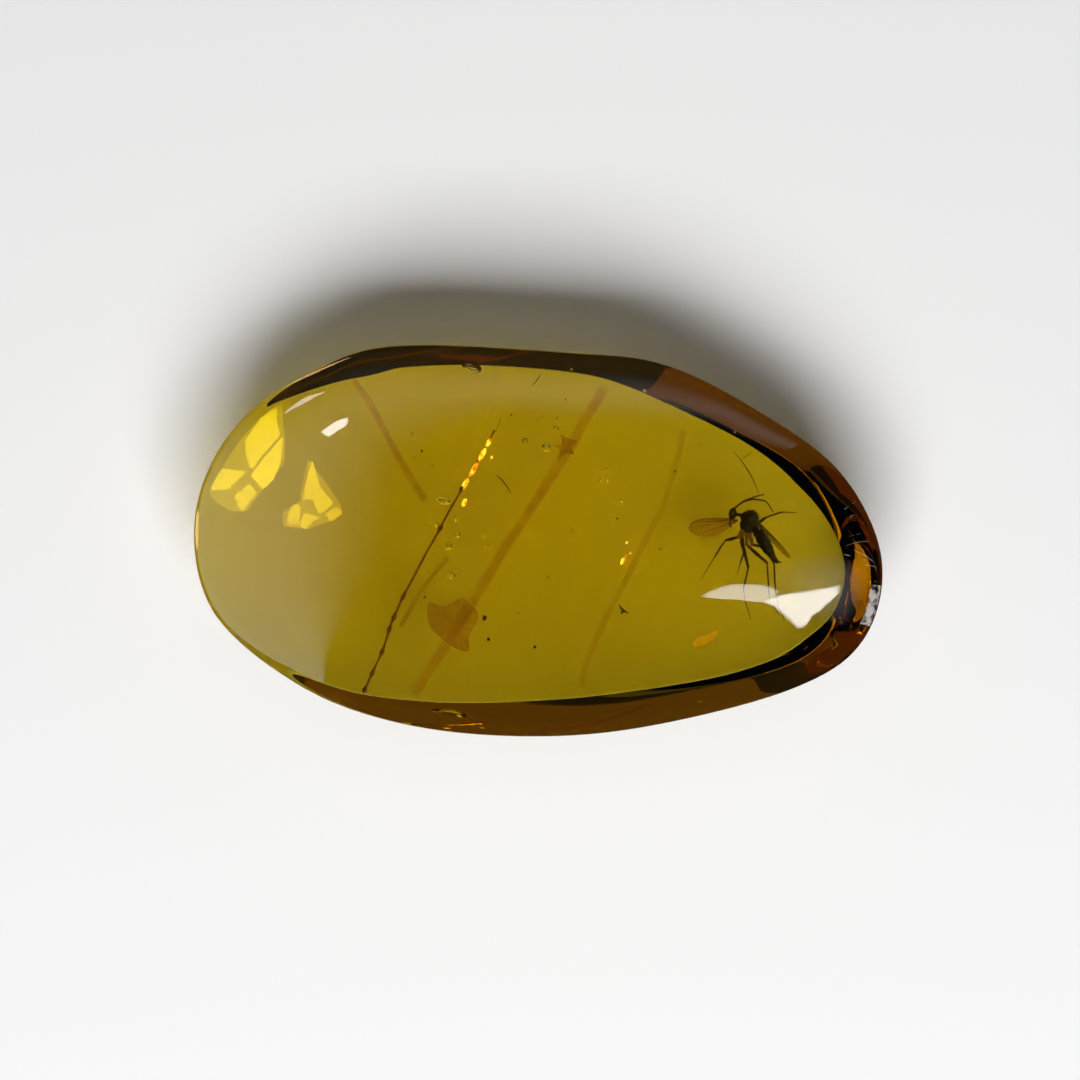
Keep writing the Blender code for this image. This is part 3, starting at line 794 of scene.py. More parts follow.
def lighter(shade, times):
    """A colour with each of its parts multiplied."""
    return tuple(part * times for part in shade)


def chitin_finish(name, colour, roughness, variation=0.5):
    """Insect cuticle, mottled, with a fine leathery relief."""
    finish = Finish(name, Roughness=roughness, Specular_IOR_Level=0.35)
    mottle = finish.clouds(0.09, detail=4)
    dark = lighter(colour, 1 - variation)
    light = tuple(min(part * (1 + variation), 1) for part in colour)
    finish.feed(Base_Color=finish.mixed(mottle.stepped(0.35, 0.65), dark, light))
    finish.feed(Roughness=roughness + 0.15 * (mottle - 0.5))
    finish.bumped(finish.cells(0.022), 0.004)
    return finish.material


def eye_finish():
    """Compound eyes: dark red-brown with rows of tiny lenses, each with a painted glint at its middle."""
    finish = Finish("eye", Roughness=0.2)
    lenses = finish.cells(0.018)
    # Painted highlight: each lens is lighter at its middle
    painted_lens_glint, ground = (0.05, 0.012, 0.006), (0.010, 0.003, 0.002)
    finish.feed(Base_Color=finish.mixed(lenses.stepped(0.2, 0.6), painted_lens_glint, ground))
    finish.bumped(1 - lenses, 0.006)
    return finish.material


def wing_finish(own):
    """A smoky membrane that lets most light through, with a fine nap."""
    finish = Finish("wing_membrane", Base_Color=own.wings, Roughness=0.35)
    nap = finish.clouds(0.035, detail=2)
    finish.feed(Alpha=own.wing_cover * (0.75 + 0.5 * nap))
    smoke = finish.clouds(0.4).stepped(0.3, 0.7)
    finish.feed(Base_Color=finish.mixed(smoke, own.wings, lighter(own.wings, 1.8)))
    finish.bumped(nap, 0.002)
    return finish.material


def thread_finish(own):
    """Dark plant fibre with a ridged bark."""
    finish = Finish("plant_thread", Roughness=0.6)
    bark = finish.clouds(0.07, detail=4)
    finish.feed(Base_Color=finish.mixed(bark.stepped(0.3, 0.7), own.thread, lighter(own.thread, 2.4)))
    finish.bumped(bark, 0.01)
    return finish.material


def painted_glow_finish(own):
    """Split flakes between resin and thread, orange at their edges, with a painted glow for the light they
    throw back.
    """
    finish = Finish("flash", Roughness=0.25)
    painted_shine = finish.clouds(0.16, detail=3).stepped(0.42, 0.58)
    finish.feed(Base_Color=finish.mixed(painted_shine, (0.75, 0.22, 0.005), own.glow))
    # Painted glow: emission in place of the light the split flakes throw back
    finish.feed(Emission_Color=finish.mixed(painted_shine, (0.42, 0.10, 0.0), (1.0, 0.72, 0.10)))
    finish.feed(Emission_Strength=1.5)
    return finish.material


def leaf_finish(own):
    """A thin brown scrap of leaf, mottled and see-through, darker along its veins."""
    finish = Finish("leaf_scrap", Roughness=0.6)
    mottle = finish.clouds(0.35, detail=5)
    veins = finish.cells(0.30).stepped(0.35, 0.1)
    finish.feed(Base_Color=finish.mixed(mottle.stepped(0.3, 0.7), own.leaf, lighter(own.leaf, 1.5)))
    finish.feed(Alpha=own.leaf_cover * (0.75 + 0.45 * mottle) + 0.05 * veins)
    finish.bumped(mottle, 0.02)
    return finish.material


def worn_finish(name, cover):
    """Resin rubbed dull and pale, in patches."""
    finish = Finish(name, Base_Color=(0.9, 0.88, 0.84), Roughness=0.6)
    return finish.feed(Alpha=cover * finish.clouds(0.35, detail=4).stepped(0.35, 0.6)).material


def crack_painted_reflection_finish():
    """A crack within the resin, with a painted reflection of a little warm light."""
    finish = Finish("crack_painted_reflection", Base_Color=(1.0, 0.60, 0.01), Roughness=0.4, Alpha=0.55)
    painted_shine = finish.clouds(0.5, detail=3)
    # Painted reflection: a faint warm emission in place of the light the crack mirrors
    finish.feed(Emission_Color=finish.mixed(painted_shine, (0.05, 0.03, 0.0), (0.18, 0.115, 0.0)))
    return finish.feed(Emission_Strength=1.0).material


def flow_band_and_painted_shadow_finish(own, name, strength):
    """A film of darker resin for a flow band, also drawn as the painted shadow of the thread: dense along its
    middle and fading at its sides and ends.
    """
    finish = Finish(name, Base_Color=own.band, Roughness=0.5, Specular_IOR_Level=0.0)
    own_map = finish.node("ShaderNodeTexCoord", out="UV")
    across = abs(finish.axis(own_map, "Y") - 0.5) * 2
    along = abs(finish.axis(own_map, "X") - 0.5) * 2
    body = across.stepped(1.0, 0.35)
    streaks = finish.clouds(0.5, detail=3)
    cover = strength * own.band_cover * body * (0.7 + 0.6 * streaks)
    finish.feed(Alpha=cover * along.stepped(1.0, 0.94))
    return finish.material


def dust_finish(own, name="dust"):
    """Dark debris, lighter in places."""
    finish = Finish(name, Roughness=0.7)
    mottle = finish.clouds(0.05)
    finish.feed(Base_Color=finish.mixed(mottle, own.dust, lighter(own.dust, 3)))
    return finish.material


def wall_finish():
    """Light from a pale wall, brighter towards one end, which fades at its top and its ends."""
    finish = Finish("pale_wall", Base_Color=(0, 0, 0), Specular_IOR_Level=0.0, Emission_Strength=1.0)
    own_map = finish.node("ShaderNodeTexCoord", out="UV")
    along, up = finish.axis(own_map, "X"), finish.axis(own_map, "Y")
    glow = (0.56 + 1.0 * along.stepped(0.3, 0.80)) * up.stepped(1.0, 0.62)
    foot = up.stepped(0.62, 0.25) * along.stepped(0.62, 0.48)
    glow = glow * (1 - 0.93 * foot)
    finish.feed(Emission_Color=finish.mixed(glow * 0.5, (0, 0, 0), (1.9, 2.0, 1.96)))
    return finish.material


def pane_finish(name, radiance, soft, colour):
    """Even light that fades towards the edge of a fan of faces."""
    finish = Finish(name, Base_Color=(0, 0, 0), Specular_IOR_Level=0.0, Emission_Strength=radiance)
    own_map = finish.node("ShaderNodeTexCoord", out="UV")
    across, up = finish.axis(own_map, "X") - 0.5, finish.axis(own_map, "Y") - 0.5
    outwards = (across * across + up * up) ** 0.5 * 2
    finish.feed(Emission_Color=finish.mixed(outwards.stepped(1.0, soft), (0, 0, 0), colour))
    return finish.material


def table_finish(own):
    """A plain pale table with the faintest grain."""
    finish = Finish("table", Roughness=0.8, Specular_IOR_Level=0.1)
    grain = finish.clouds(0.4, detail=2)
    finish.feed(Base_Color=finish.mixed(grain, lighter(own.table, 0.995), own.table))
    return finish.material


# ---------------------------------------------------------------- pieces


class AMBER_OT_pebble(bpy.types.Operator):
    """Make the polished pebble of clear amber, with its gas bubbles"""

    bl_idname = "amber.pebble"
    bl_label = "Amber pebble"

    def execute(self, context):
        own = context.scene.pebble_settings
        pebble = Pebble(own)
        rings = BACK_RINGS + BEVEL_RINGS + DOME_RINGS
        bpy.ops.mesh.primitive_uv_sphere_add(segments=PEBBLE_SIDES, ring_count=rings, radius=1)
        stone = bpy.context.object
        with editing(stone) as mesh:
            levels = [pebble.ring(index) for index in range(rings - 1)]
            for corner in mesh.verts:
                ring = round((math.asin(max(-1, min(1, corner.co.z))) / math.pi + 0.5) * rings)
                if ring == 0:
                    corner.co = (0, 0, 0)
                elif ring == rings:
                    corner.co = pebble.swollen(Vector((0, 0, pebble.thickness)))
                else:
                    side = round(math.atan2(corner.co.y, corner.co.x) / math.tau * PEBBLE_SIDES)
                    corner.co = pebble.swollen(levels[ring - 1][side % PEBBLE_SIDES])
        voids = []
        for x, y, height, width, depth, turn in BUBBLES:
            void = ball(pebble.beneath(x, y, height), (width, depth, (width + depth) / 2), turn, 24, 16)
            with editing(void):
                bpy.ops.mesh.select_all(action="SELECT")
                bpy.ops.mesh.flip_normals()
            voids.append(void)
        stone = in_finish(joined([*voids, stone]), amber_finish(own))
        finished(stone, "amber", "amber", "amber_lower", "amber_upper", smooth_to=30)
        return {"FINISHED"}


def abdomen():
    """Seven overlapping rings that taper to the tail."""
    count = ABDOMEN_SEGMENTS * 8 + 1
    path = spaced(smooth_curve(ABDOMEN, 8), count)
    sizes = []
    for step in range(count):
        part = step / (count - 1)
        saw = (part * ABDOMEN_SEGMENTS) % 1
        sizes.append(between(ABDOMEN_RADII, part) * (0.93 + 0.10 * math.sin(saw * math.pi / 1.25)))
    return rod(path, sizes, 24)


def beaded(points, radii, segments, swell, steps=6, sides=8):
    """A jointed tube, such as an antenna or a tarsus, pinched between its segments."""
    count = segments * steps + 1
    path = spaced(smooth_curve(points, 10), count)
    sizes = []
    for step in range(count):
        pinch = abs(math.sin(math.pi * step / steps))
        sizes.append(between(radii, step / (count - 1)) * (1 - swell + swell * pinch))
    return rod(path, sizes, sides)


def leg(parts):
    """Coxa, femur, tibia and tarsus, with two spurs at the tibia's end and two claws."""
    coxa, femur, tibia, tarsus = parts
    pieces = [
        limb(coxa, LIMB_RADII["coxa"]),
        limb(femur, LIMB_RADII["femur"], count=16),
        limb(tibia, LIMB_RADII["tibia"]),
        beaded(tarsus, LIMB_RADII["tarsus"], TARSUS_SEGMENTS, 0.3),
    ]
    ankle, toe = Vector(tarsus[0]), Vector(tarsus[-1])
    onward = (Vector(tarsus[1]) - ankle).normalized()
    aside = onward.cross(Vector((0, 0, 1))).normalized()
    for side in (-1, 1):
        spur = ankle + onward * 0.12 + side * aside * 0.045
        pieces.append(rod([ankle, ankle.lerp(spur, 0.5), spur], [0.010, 0.007, 0.001], 6))
        claw = toe + onward * 0.035 + side * aside * 0.03
        pieces.append(rod([toe, claw, claw + onward * 0.01 - side * aside * 0.012], [0.007, 0.004, 0.001], 6))
    return pieces


def bristle():
    """One bristle of length 1 along +Z, slightly bowed, to be copied to every root."""
    points = [(0.02 * math.sin(part * 2), 0.10 * part**2, part) for part in (0, 0.3, 0.65, 1)]
    return rod(points, [0.045, 0.036, 0.022, 0.004], 4)


def planted(seed, roots):
    """Copies of a bristle, each with its own mesh: one for each root, direction and length."""
    copies = []
    for root, direction, length in roots:
        copy = seed.copy()
        copy.data = seed.data.copy()
        bpy.context.collection.objects.link(copy)
        turn = direction.to_track_quat("Z", "Y").to_matrix().to_4x4()
        copy.data.transform(Matrix.Translation(root) @ turn @ Matrix.Scale(length, 4))
        copies.append(copy)
    return copies


def hairs_along(points, radii, count, length, chance):
    """Roots for bristles round a limb, leaning towards its end."""
    path = spaced(smooth_curve(points, 6), count)
    roots = []
    for step, (start, end) in enumerate(zip(path, path[1:])):
        along = (end - start).normalized()
        around = along.orthogonal().normalized()
        around.rotate(Matrix.Rotation(chance.uniform(0, math.tau), 3, along))
        radius = between(radii, step / count)
        root, lean = start + around * radius * 0.8, (around + along * 0.9).normalized()
        roots.append((root, lean, length * chance.uniform(0.7, 1.2)))
    return roots


class AMBER_OT_gnat(bpy.types.Operator):
    """Make the gnat's body, head, legs and antennae, with its bristles"""

    bl_idname = "amber.gnat"
    bl_label = "Gnat"

    def execute(self, context):
        own = context.scene.gnat_settings
        dark = chitin_finish("chitin_body", own.body, 0.35)
        brown = chitin_finish("chitin_limbs", own.limbs, 0.45)
        pale = chitin_finish("chitin_joints", own.joints, 0.5, 0.3)
        trunk = [ball(*part, segments=32, rings=20) for part in [*THORAX, HEAD]]
        trunk.append(limb(NECK, (0.07, 0.06, 0.09)))
        trunk.append(abdomen())
        body = with_modifier(joined(trunk), "REMESH", mode="VOXEL", voxel_size=0.016, adaptivity=0.0)
        body = with_modifier(body, "SMOOTH", factor=0.5, iterations=3)
        pieces = [in_finish(body, dark)]
        pieces += [in_finish(ball(*eye, segments=28, rings=18), eye_finish()) for eye in EYES]
        pieces += [in_finish(limb(palp, (0.028, 0.030, 0.022, 0.018), sides=8), brown) for palp in PALPS]
        pieces += [in_finish(limb(tail, (0.035, 0.022), sides=8), dark) for tail in CERCI]
        pieces += [in_finish(limb(halter, (0.014, 0.016, 0.045), sides=8), pale) for halter in HALTERES]
        feelers = [beaded(feeler, ANTENNA_RADII, ANTENNA_SEGMENTS, 0.28) for feeler in ANTENNAE]
        pieces += [in_finish(feeler, brown) for feeler in feelers]
        for parts in LEGS.values():
            coxa, *rest = leg(parts)
            pieces.append(in_finish(coxa, pale))
            pieces += [in_finish(piece, brown) for piece in rest]
        pieces += [in_finish(hair, brown) for hair in self.bristles()]
        gnat = joined(pieces)
        finished(gnat, "gnat_body", "gnat", "gnat", place=GNAT_PLACE)
        return {"FINISHED"}

    @staticmethod
    def bristles():
        chance = random.Random(5)
        roots = []
        for parts in LEGS.values():
            roots += hairs_along(parts[1], LIMB_RADII["femur"], 14, 0.06, chance)
            roots += hairs_along(parts[2], LIMB_RADII["tibia"], 18, 0.07, chance)
        for feeler in ANTENNAE:
            roots += hairs_along(feeler, (0.034, 0.02), 34, 0.045, chance)
        roots += hairs_along(ABDOMEN, ABDOMEN_RADII, 48, 0.10, chance)
        middle, sizes, _ = THORAX[0]
        for _ in range(46):
            way = Vector((chance.gauss(0.25, 1), chance.gauss(0.9, 0.8), chance.gauss(0, 1))).normalized()
            root = Vector(middle) + Vector([part * size * 0.96 for part, size in zip(way, sizes)])
            roots.append((root, (way + Vector((0.5, -0.5, 0))).normalized(), chance.uniform(0.08, 0.16)))
        seed = bristle()
        copies = planted(seed, roots)
        bpy.data.objects.remove(seed)
        return copies


def wing_place(root, tip, across):
    """The matrix that puts a wing's own plane, along and across it, where the wing belongs."""
    root = Vector(root)
    along = (Vector(tip) - root).normalized()
    across = Vector(across)
    across = (across - along * across.dot(along)).normalized()
    return Matrix.Translation(root) @ Matrix((along, across, along.cross(across))).transposed().to_4x4()


def wing_camber(along, across):
    """A wing bows a little and is fluted between its veins."""
    return 0.05 * math.sin(along * 1.5) * (0.4 + across) + 0.008 * math.sin(across * 38)


class AMBER_OT_wings(bpy.types.Operator):
    """Make the gnat's two smoky wings with their veins"""

    bl_idname = "amber.wings"
    bl_label = "Wings"

    def execute(self, context):
        own = context.scene.gnat_settings
        membrane = wing_finish(own)
        vein_finish = chitin_finish("wing_vein", own.limbs, 0.4)
        front = spaced(smooth_curve([(*point, 0) for point in WING_FRONT], 12), 60)
        hind = spaced(smooth_curve([(*point, 0) for point in WING_HIND], 12), 60)
        blades, veins = [], []
        for wing in WINGS.values():
            place = wing_place(*wing)
            bpy.ops.mesh.primitive_grid_add(x_subdivisions=44, y_subdivisions=16, size=2)
            blade = bpy.context.object
            with editing(blade) as mesh:
                for corner in mesh.verts:
                    part, share = (corner.co.x + 1) / 2, (corner.co.y + 1) / 2
                    low, high = between(hind, part), between(front, part)
                    point = low.lerp(high, share)
                    point.z = wing_camber(point.x, point.y)
                    corner.co = place @ point
                bpy.ops.mesh.select_all(action="SELECT")
                bpy.ops.mesh.remove_doubles(threshold=0.0005)
            blades.append(in_finish(with_modifier(blade, "SOLIDIFY", thickness=0.012, offset=0), membrane))
            for route, radius in VEINS:
                path = spaced(smooth_curve([(*point, 0) for point in route], 8), 14)
                path = [place @ Vector((point.x, point.y, wing_camber(point.x, point.y))) for point in path]
                radii = [radius * (1 - 0.5 * step / 13) for step in range(14)]
                veins.append(in_finish(rod(path, radii, 8), vein_finish))
        finished(joined(blades), "wing_membranes", "gnat", place=GNAT_PLACE)
        finished(joined(veins), "wing_veins", "gnat", place=GNAT_PLACE)
        return {"FINISHED"}


class AMBER_OT_thread(bpy.types.Operator):
    """Make the beaded plant thread and the flakes beside it, which carry a painted glow"""

    bl_idname = "amber.thread"
    bl_label = "Plant thread"

    def execute(self, context):
        own = context.scene.inclusion_settings
        pebble = Pebble(context.scene.pebble_settings)
        height = context.scene.pebble_settings.girdle_height
        route = smooth_curve([(x, y, height) for x, y in THREAD_ROUTE], 24)
        length = distances_along(route)[-1]
        count = THREAD_STATIONS
        chance = random.Random(11)
        path, sizes = spaced(route, count), []
        for step, point in enumerate(path):
            stop = length * step / (count - 1)
            bead = max(math.exp(-(((stop - place) / 0.13) ** 2)) for place in THREAD_BEADS)
            wander = noise.noise(Vector((stop * 1.3, 0, 0)))
            point += Vector((0.025 * wander, 0.0, 0.05 * noise.noise(Vector((0, stop * 0.8, 0)))))
            sizes.append(0.042 + 0.045 * bead + 0.008 * noise.noise(Vector((stop * 6, 4, 0))))
        sizes[0] = sizes[-1] = 0.01
        stem = rod(path, sizes, 12)
        knots = []
        for place in THREAD_BEADS:
            point = path[min(int(place / length * count), count - 1)]
            shape = ball(point, (0.075, 0.10, 0.07), chance.uniform(0, 180), 14, 9)
            knots.append(with_modifier(shape, "SMOOTH", factor=0.4, iterations=1))
        beads = in_finish(joined(knots), dust_finish(own, "thread_knots"))
        strand = joined([beads, in_finish(stem, thread_finish(own))])
        finished(strand, "thread", "plant_thread", "plant_thread")
        self.painted_flashes(own, pebble, route, length)
        return {"FINISHED"}

    @staticmethod
    def painted_flashes(own, pebble, route, length):
        """Long flakes along the thread's upper end, and loose ones elsewhere, all with a painted glow."""
        finish = painted_glow_finish(own)
        flakes = []
        breaks = [GLOWING_START + stop for stop in GLOWING_BREAKS]
        stops = (GLOWING_START, *breaks, GLOWING_START + GLOWING_LENGTH)
        for start, end in zip(stops, stops[1:]):
            run = spaced(route, 200)
            low, high = run[int(start / length * 200)], run[int(end / length * 200)]
            middle, reach = (low + high) / 2, (high - low)
            turn = math.degrees(math.atan2(reach.y, reach.x))
            spot = middle + Vector((0.03, 0.02, 0.07))
            flakes.append(ball(spot, (reach.length * 0.46, 0.095, 0.03), turn, 20, 12))
        for x, y, height, size, turn in PAINTED_SPARKS:
            flakes.append(ball(pebble.beneath(x, y, height), (size, size * 0.6, size * 0.25), turn, 14, 8))
        chance = random.Random(3)
        for flake in flakes:
            with editing(flake) as mesh:
                for corner in mesh.verts:
                    corner.co += noise.noise_vector(corner.co * 9) * 0.02 * chance.uniform(0.8, 1.2)
        finished(in_finish(joined(flakes), finish), "painted_flashes", "plant_thread")


class AMBER_OT_leaf(bpy.types.Operator):
    """Make the creased scrap of leaf, the splash and the crescent crack with its painted reflection"""

    bl_idname = "amber.leaf"
    bl_label = "Scrap of leaf"

    def execute(self, context):
        own = context.scene.inclusion_settings
        finish = leaf_finish(own)
        leaf = in_finish(self.scrap(SCRAP_OUTLINE, 0.025), finish)
        finished(leaf, "leaf", "leaf_scrap", "leaf_scrap", place=SCRAP_PLACE)
        splash = in_finish(self.scrap(SPLASH_OUTLINE, 0.010), finish)
        finished(splash, "splash", "flow_band", place=SPLASH_PLACE)
        crescent = in_finish(self.scrap(CRESCENT_OUTLINE, 0.010), crack_painted_reflection_finish())
        finished(crescent, "crescent_crack_painted_reflection", "plant_thread", place=CRESCENT_PLACE)
        return {"FINISHED"}

    @staticmethod
    def scrap(outline, thickness):
        """A thin plate with this outline, creased and a little crumpled."""
        edge = smooth_curve([(*point, 0) for point in outline], 6, closed=True)
        bpy.ops.mesh.primitive_circle_add(vertices=len(edge), fill_type="TRIFAN", radius=1)
        leaf = bpy.context.object
        start, end = (Vector((*point, 0)) for point in SCRAP_CREASE)
        fold = (end - start).normalized()
        with editing(leaf) as mesh:
            for corner in mesh.verts:
                if corner.co.length < 0.5:
                    corner.co = (0, 0, 0)
                else:
                    turn = round(math.atan2(corner.co.y, corner.co.x) / math.tau * len(edge))
                    corner.co = edge[turn % len(edge)]
            bpy.ops.mesh.select_all(action="SELECT")
            bpy.ops.mesh.subdivide(number_cuts=5)
            for corner in mesh.verts:
                off = (corner.co - start).cross(fold).z
                corner.co.z = 0.05 * abs(off) - 0.02 + 0.03 * noise.noise(corner.co * 2.2)
        return with_modifier(leaf, "SOLIDIFY", thickness=thickness, offset=0)


class AMBER_OT_flow_bands(bpy.types.Operator):
    """Make the films of darker resin where one flow met the next, and the painted shadow of the thread"""

    bl_idname = "amber.flow_bands"
    bl_label = "Flow bands"

    def execute(self, context):
        own = context.scene.inclusion_settings
        for name, (node, height, width, strength, route) in BANDS.items():
            nodes = [node] if node else []
            route = spaced(smooth_curve([(*spot, height) for spot in route], 16), 90)
            bpy.ops.mesh.primitive_grid_add(x_subdivisions=80, y_subdivisions=12, size=2)
            band = bpy.context.object
            with editing(band) as mesh:
                for corner in mesh.verts:
                    part, share = (corner.co.x + 1) / 2, corner.co.y
                    point = between(route, part)
                    along = between(route, min(part + 0.01, 1)) - between(route, max(part - 0.01, 0))
                    aside = along.cross(Vector((0, 0, 1))).normalized()
                    breadth = width * (1 + 0.12 * noise.noise(point * 0.9))
                    wave = Vector((0, 0, 0.04 * noise.noise(point * 0.5)))
                    corner.co = point + aside * share * breadth / 2 + wave
            with_modifier(band, "SOLIDIFY", thickness=0.01, offset=0)
            finished(in_finish(band, flow_band_and_painted_shadow_finish(own, name, strength)), name, "flow_band", *nodes)
        return {"FINISHED"}


class AMBER_OT_wear(bpy.types.Operator):
    """Make the rubbed facet and the scratches on the pebble's blunt end"""

    bl_idname = "amber.wear"
    bl_label = "Wear"

    def execute(self, context):
        pebble = Pebble(context.scene.pebble_settings)
        start, end, inner, outer = FACET
        bpy.ops.mesh.primitive_grid_add(x_subdivisions=30, y_subdivisions=8, size=2)
        facet = bpy.context.object
        with editing(facet) as mesh:
            for corner in mesh.verts:
                angle = math.radians(start + (end - start) * (corner.co.x + 1) / 2)
                share = inner + (outer - inner) * (corner.co.y + 1) / 2
                along, across = math.cos(angle), math.sin(angle)
                reach = pebble.reach(along, across) * share
                x, y = along * reach, across * reach
                corner.co = (x, y, pebble.dome(x, y) + FACET_LIFT)
        in_finish(facet, worn_finish("rubbed", 0.50))
        scratches = []
        for route in SCRATCHES:
            path = spaced(smooth_curve([(x, y, pebble.dome(x, y)) for x, y in route], 10), 12)
            radii = [0.012 * math.sin(math.pi * (step + 0.5) / 12) + 0.003 for step in range(12)]
            scratches.append(rod(path, radii, 6))
        lines = in_finish(joined(scratches), worn_finish("scratched", 0.22))
        finished(joined([facet, lines]), "wear", "amber")
        return {"FINISHED"}


class AMBER_OT_dust(bpy.types.Operator):
    """Make the specks and short hairs caught in the resin"""

    bl_idname = "amber.dust"
    bl_label = "Dust and hairs"

    def execute(self, context):
        own = context.scene.inclusion_settings
        pebble = Pebble(context.scene.pebble_settings)
        chance = random.Random(21)
        specks = []
        for x, y, size in SPECKS:
            spot = pebble.beneath(x, y, chance.uniform(3.2, 6.2))
            bpy.ops.mesh.primitive_ico_sphere_add(subdivisions=3, radius=1, location=spot)
            speck = bpy.context.object
            speck.scale = (size * 0.6, size * chance.uniform(0.4, 0.9), size * 0.5)
            speck.rotation_euler.z = chance.uniform(0, math.pi)
            settle()
            with editing(speck) as mesh:
                for corner in mesh.verts:
                    corner.co += noise.noise_vector(corner.co * 14) * size * 0.3
            specks.append(speck)
        finished(in_finish(joined(specks), dust_finish(own)), "dust_specks", "plant_thread")
        hairs = []
        for seen, height, radius in HAIRS:
            path = spaced(smooth_curve([pebble.beneath(x, y, height) for x, y in seen], 10), 24)
            radii = [radius * (0.3 + 0.7 * math.sin(math.pi * (step + 1) / 25)) for step in range(24)]
            hairs.append(rod(path, radii, 8))
        finished(in_finish(joined(hairs), dust_finish(own, "hair")), "hairs", "plant_thread")
        return {"FINISHED"}


# ---------------------------------------------------------------- stage


def aimed(thing, place, target=(0, 0, 4)):
    """Puts a light at a place in millimetres, shining at a target."""
    place, target = Vector(place) * MM, Vector(target) * MM
    thing.location = place
    thing.rotation_mode = "QUATERNION"
    thing.rotation_quaternion = (target - place).to_track_quat("-Z", "Y")


def towards(azimuth, elevation, distance):
    """The point that lies in a direction, in degrees from +X and above the table."""
    turn, lift = math.radians(azimuth), math.radians(elevation)
    level = math.cos(lift)
    return Vector((math.cos(turn) * level, math.sin(turn) * level, math.sin(lift))) * distance


def seen_only_by(thing, ray):
    """Makes an object part of the stage, seen by one kind of ray alone."""
    for kind in ("camera", "diffuse", "glossy", "transmission", "volume_scatter", "shadow"):
        setattr(thing, "visible_" + kind, kind == ray)


def pane(name, outline, radiance, ray, reach=PANE_REACH, soft=PANE_EDGE, colour=(1, 1, 1)):
    """A bright pane whose corners lie in the listed directions."""
    bpy.ops.mesh.primitive_circle_add(vertices=len(outline), radius=1, fill_type="TRIFAN")
    thing = bpy.context.object
    thing.name = name
    corners = [towards(azimuth, elevation, reach) * MM for azimuth, elevation in outline]
    middle = sum(corners, Vector((0, 0, 0))) / len(corners)
    for vertex in thing.data.vertices:
        if vertex.co.length < 0.5:
            vertex.co = middle
        else:
            turn = round(math.atan2(vertex.co.y, vertex.co.x) / math.tau * len(corners)) % len(corners)
            vertex.co = corners[turn]
    in_finish(thing, pane_finish(name, radiance, soft, colour))
    seen_only_by(thing, ray)


def softbox(name, place, width, height, radiance, target=(0, 0, 4), colour=(1, 1, 1), **seen_by):
    """A soft area light with an even radiance, which some kinds of rays may pass by."""
    bpy.ops.object.light_add(type="AREA")
    box = bpy.context.object
    box.name = name
    box.data.shape = "RECTANGLE"
    box.data.size, box.data.size_y = width * MM, height * MM
    box.data.energy = radiance * math.pi * width * height * MM**2
    box.data.color = colour
    for kind, seen in seen_by.items():
        setattr(box, f"visible_{kind}", seen)
    aimed(box, place, target)


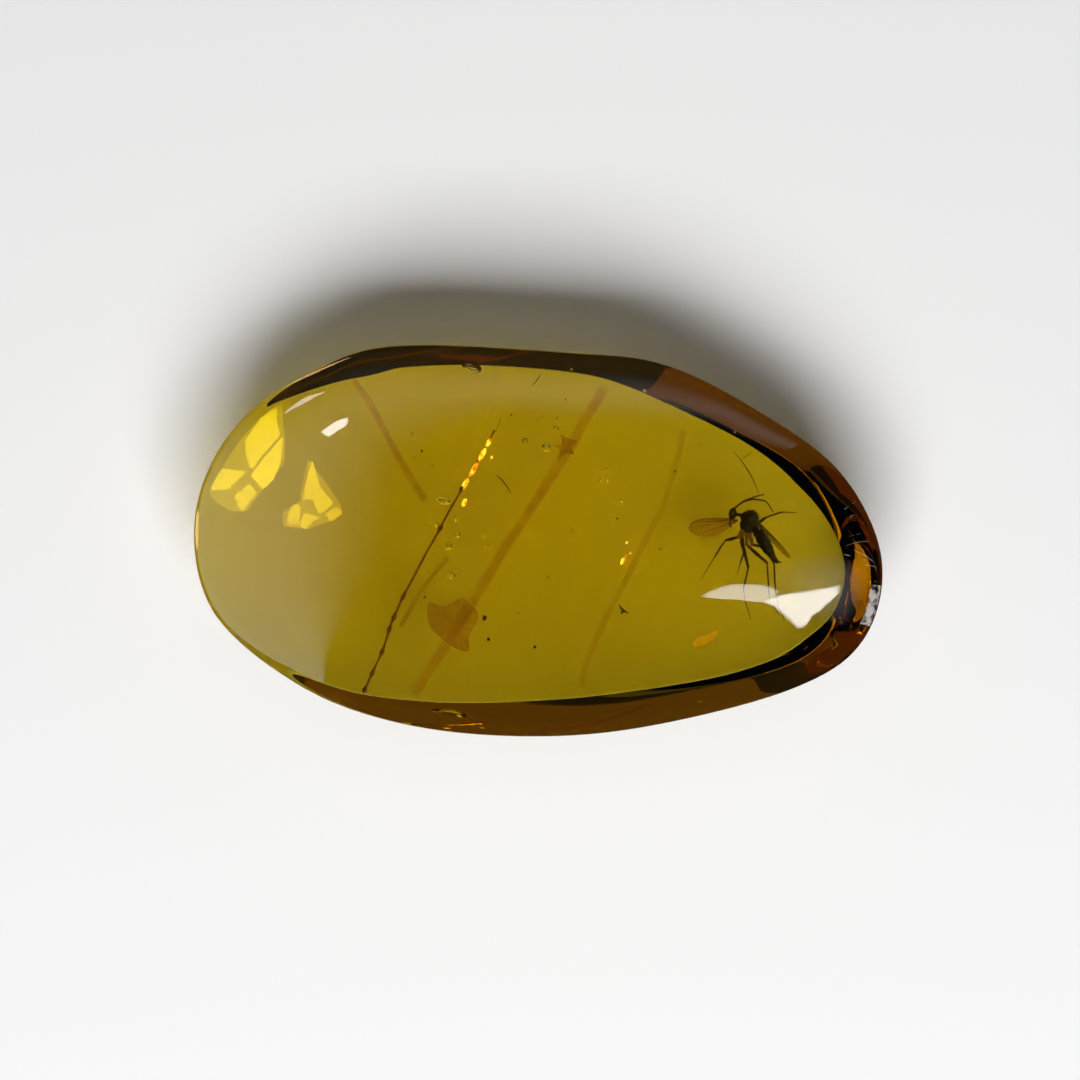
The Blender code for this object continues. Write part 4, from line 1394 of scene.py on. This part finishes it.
class AMBER_OT_stage(bpy.types.Operator):
    """Set up the pale table, the soft light and the camera straight above"""

    bl_idname = "amber.stage"
    bl_label = "Stage"

    def execute(self, context):
        own = context.scene.stage_settings
        bpy.ops.mesh.primitive_plane_add(size=own.table_width, location=(0, 0, -0.00003))
        table = bpy.context.object
        table.name = "table"
        in_finish(table, table_finish(own))
        table.visible_glossy = False
        softbox("key_softbox", (10, -270, 300), 360, 200, 10.3, glossy=False, transmission=False)
        softbox("fill_softbox", (0, 80, 400), 420, 420, 0.33, glossy=False, transmission=False)
        softbox("sky_panel", (0, 0, 300), 520, 520, 0.07, target=(0, 0, 0), diffuse=False, glossy=False)
        through_only = {"diffuse": False, "glossy": False}
        softbox("far_wall", (0, 500, 170), 700, 200, 0.10, colour=(1.0, 0.54, 0.24), **through_only)
        softbox("left_wall", (-450, -120, 160), 1000, 260, 0.10, colour=(1.0, 0.42, 0.2), **through_only)
        for name, (radiance, outline) in GLARE_PANES.items():
            pane(name, outline, radiance, "glossy", soft=GLARE_EDGE)
        for name, (radiance, outline) in RIM_GLOWS.items():
            pane(name, outline, radiance, "glossy", soft=RIM_GLOW_EDGE, colour=RIM_GLOW_COLOUR)
        pane("glare_haze", HAZE_CARD[1], HAZE_CARD[0], "glossy", HAZE_REACH, HAZE_EDGE)
        for name, (radiance, outline) in WINDOW_GLOWS.items():
            pane(name, outline, radiance, "transmission", HAZE_REACH)
        for name, (radiance, outline) in WINDOW_PANES.items():
            pane("window_" + name, outline, radiance, "transmission")
        self.screen()
        world = bpy.data.worlds.new("room")
        context.scene.world = world
        world.use_nodes = True
        world.node_tree.nodes["Background"].inputs["Color"].default_value = (0.9, 0.95, 1.0, 1.0)
        world.node_tree.nodes["Background"].inputs["Strength"].default_value = own.surroundings
        bpy.ops.object.camera_add()
        camera = bpy.context.object
        camera.location = Vector((*CAMERA_PLACE, CAMERA_HEIGHT)) * MM
        camera.rotation_euler = (0, 0, 0)
        camera.data.sensor_width = SENSOR
        camera.data.lens = SENSOR * (CAMERA_HEIGHT - context.scene.pebble_settings.girdle_height) / VIEW_WIDTH
        camera.data.clip_start = 0.01
        context.scene.camera = camera
        context.scene.view_settings.view_transform = "Standard"
        return {"FINISHED"}

    @staticmethod
    def screen():
        """A pale wall round the far side, seen only by reflection, whose edges follow the list."""
        columns = smooth_curve(SCREEN, 6)
        rows = 8
        bpy.ops.mesh.primitive_grid_add(x_subdivisions=len(columns) - 1, y_subdivisions=rows, size=1)
        wall = bpy.context.object
        wall.name = "pale_wall"
        for index, vertex in enumerate(wall.data.vertices):
            column, share = columns[index % len(columns)], index // len(columns) / rows
            vertex.co = towards(column.x, column.z + (column.y - column.z) * share, SCREEN_REACH) * MM
        in_finish(wall, wall_finish())
        seen_only_by(wall, "glossy")


class AMBER_PT_panel(bpy.types.Panel):
    """Lists the pieces in the order in which they are made"""

    bl_label = "Insect in Amber"
    bl_idname = "AMBER_PT_panel"
    bl_space_type = "VIEW_3D"
    bl_region_type = "UI"
    bl_category = "Amber"

    def draw(self, context):
        for operator in OPERATORS:
            self.layout.operator(operator.bl_idname)
        for group in SETTINGS:
            own = getattr(context.scene, group)
            column = self.layout.column(heading=group)
            for name in own.__annotations__:
                column.prop(own, name)


SETTINGS = {
    "pebble_settings": PebbleSettings, "gnat_settings": GnatSettings, "inclusion_settings": InclusionSettings,
    "stage_settings": StageSettings,
}
OPERATORS = (
    AMBER_OT_pebble, AMBER_OT_gnat, AMBER_OT_wings, AMBER_OT_thread, AMBER_OT_leaf, AMBER_OT_flow_bands,
    AMBER_OT_dust, AMBER_OT_wear, AMBER_OT_stage,
)


def register():
    for kind in (*SETTINGS.values(), *OPERATORS, AMBER_PT_panel):
        bpy.utils.register_class(kind)
    for name, kind in SETTINGS.items():
        setattr(bpy.types.Scene, name, bpy.props.PointerProperty(type=kind))


def unregister():
    for name in SETTINGS:
        delattr(bpy.types.Scene, name)
    for kind in (AMBER_PT_panel, *reversed(OPERATORS), *reversed(SETTINGS.values())):
        bpy.utils.unregister_class(kind)


def main():
    register()
    bpy.ops.amber.pebble()
    bpy.ops.amber.gnat()
    bpy.ops.amber.wings()
    bpy.ops.amber.thread()
    bpy.ops.amber.leaf()
    bpy.ops.amber.flow_bands()
    bpy.ops.amber.dust()
    bpy.ops.amber.wear()
    bpy.ops.amber.stage()


if __name__ == "__main__":
    main()
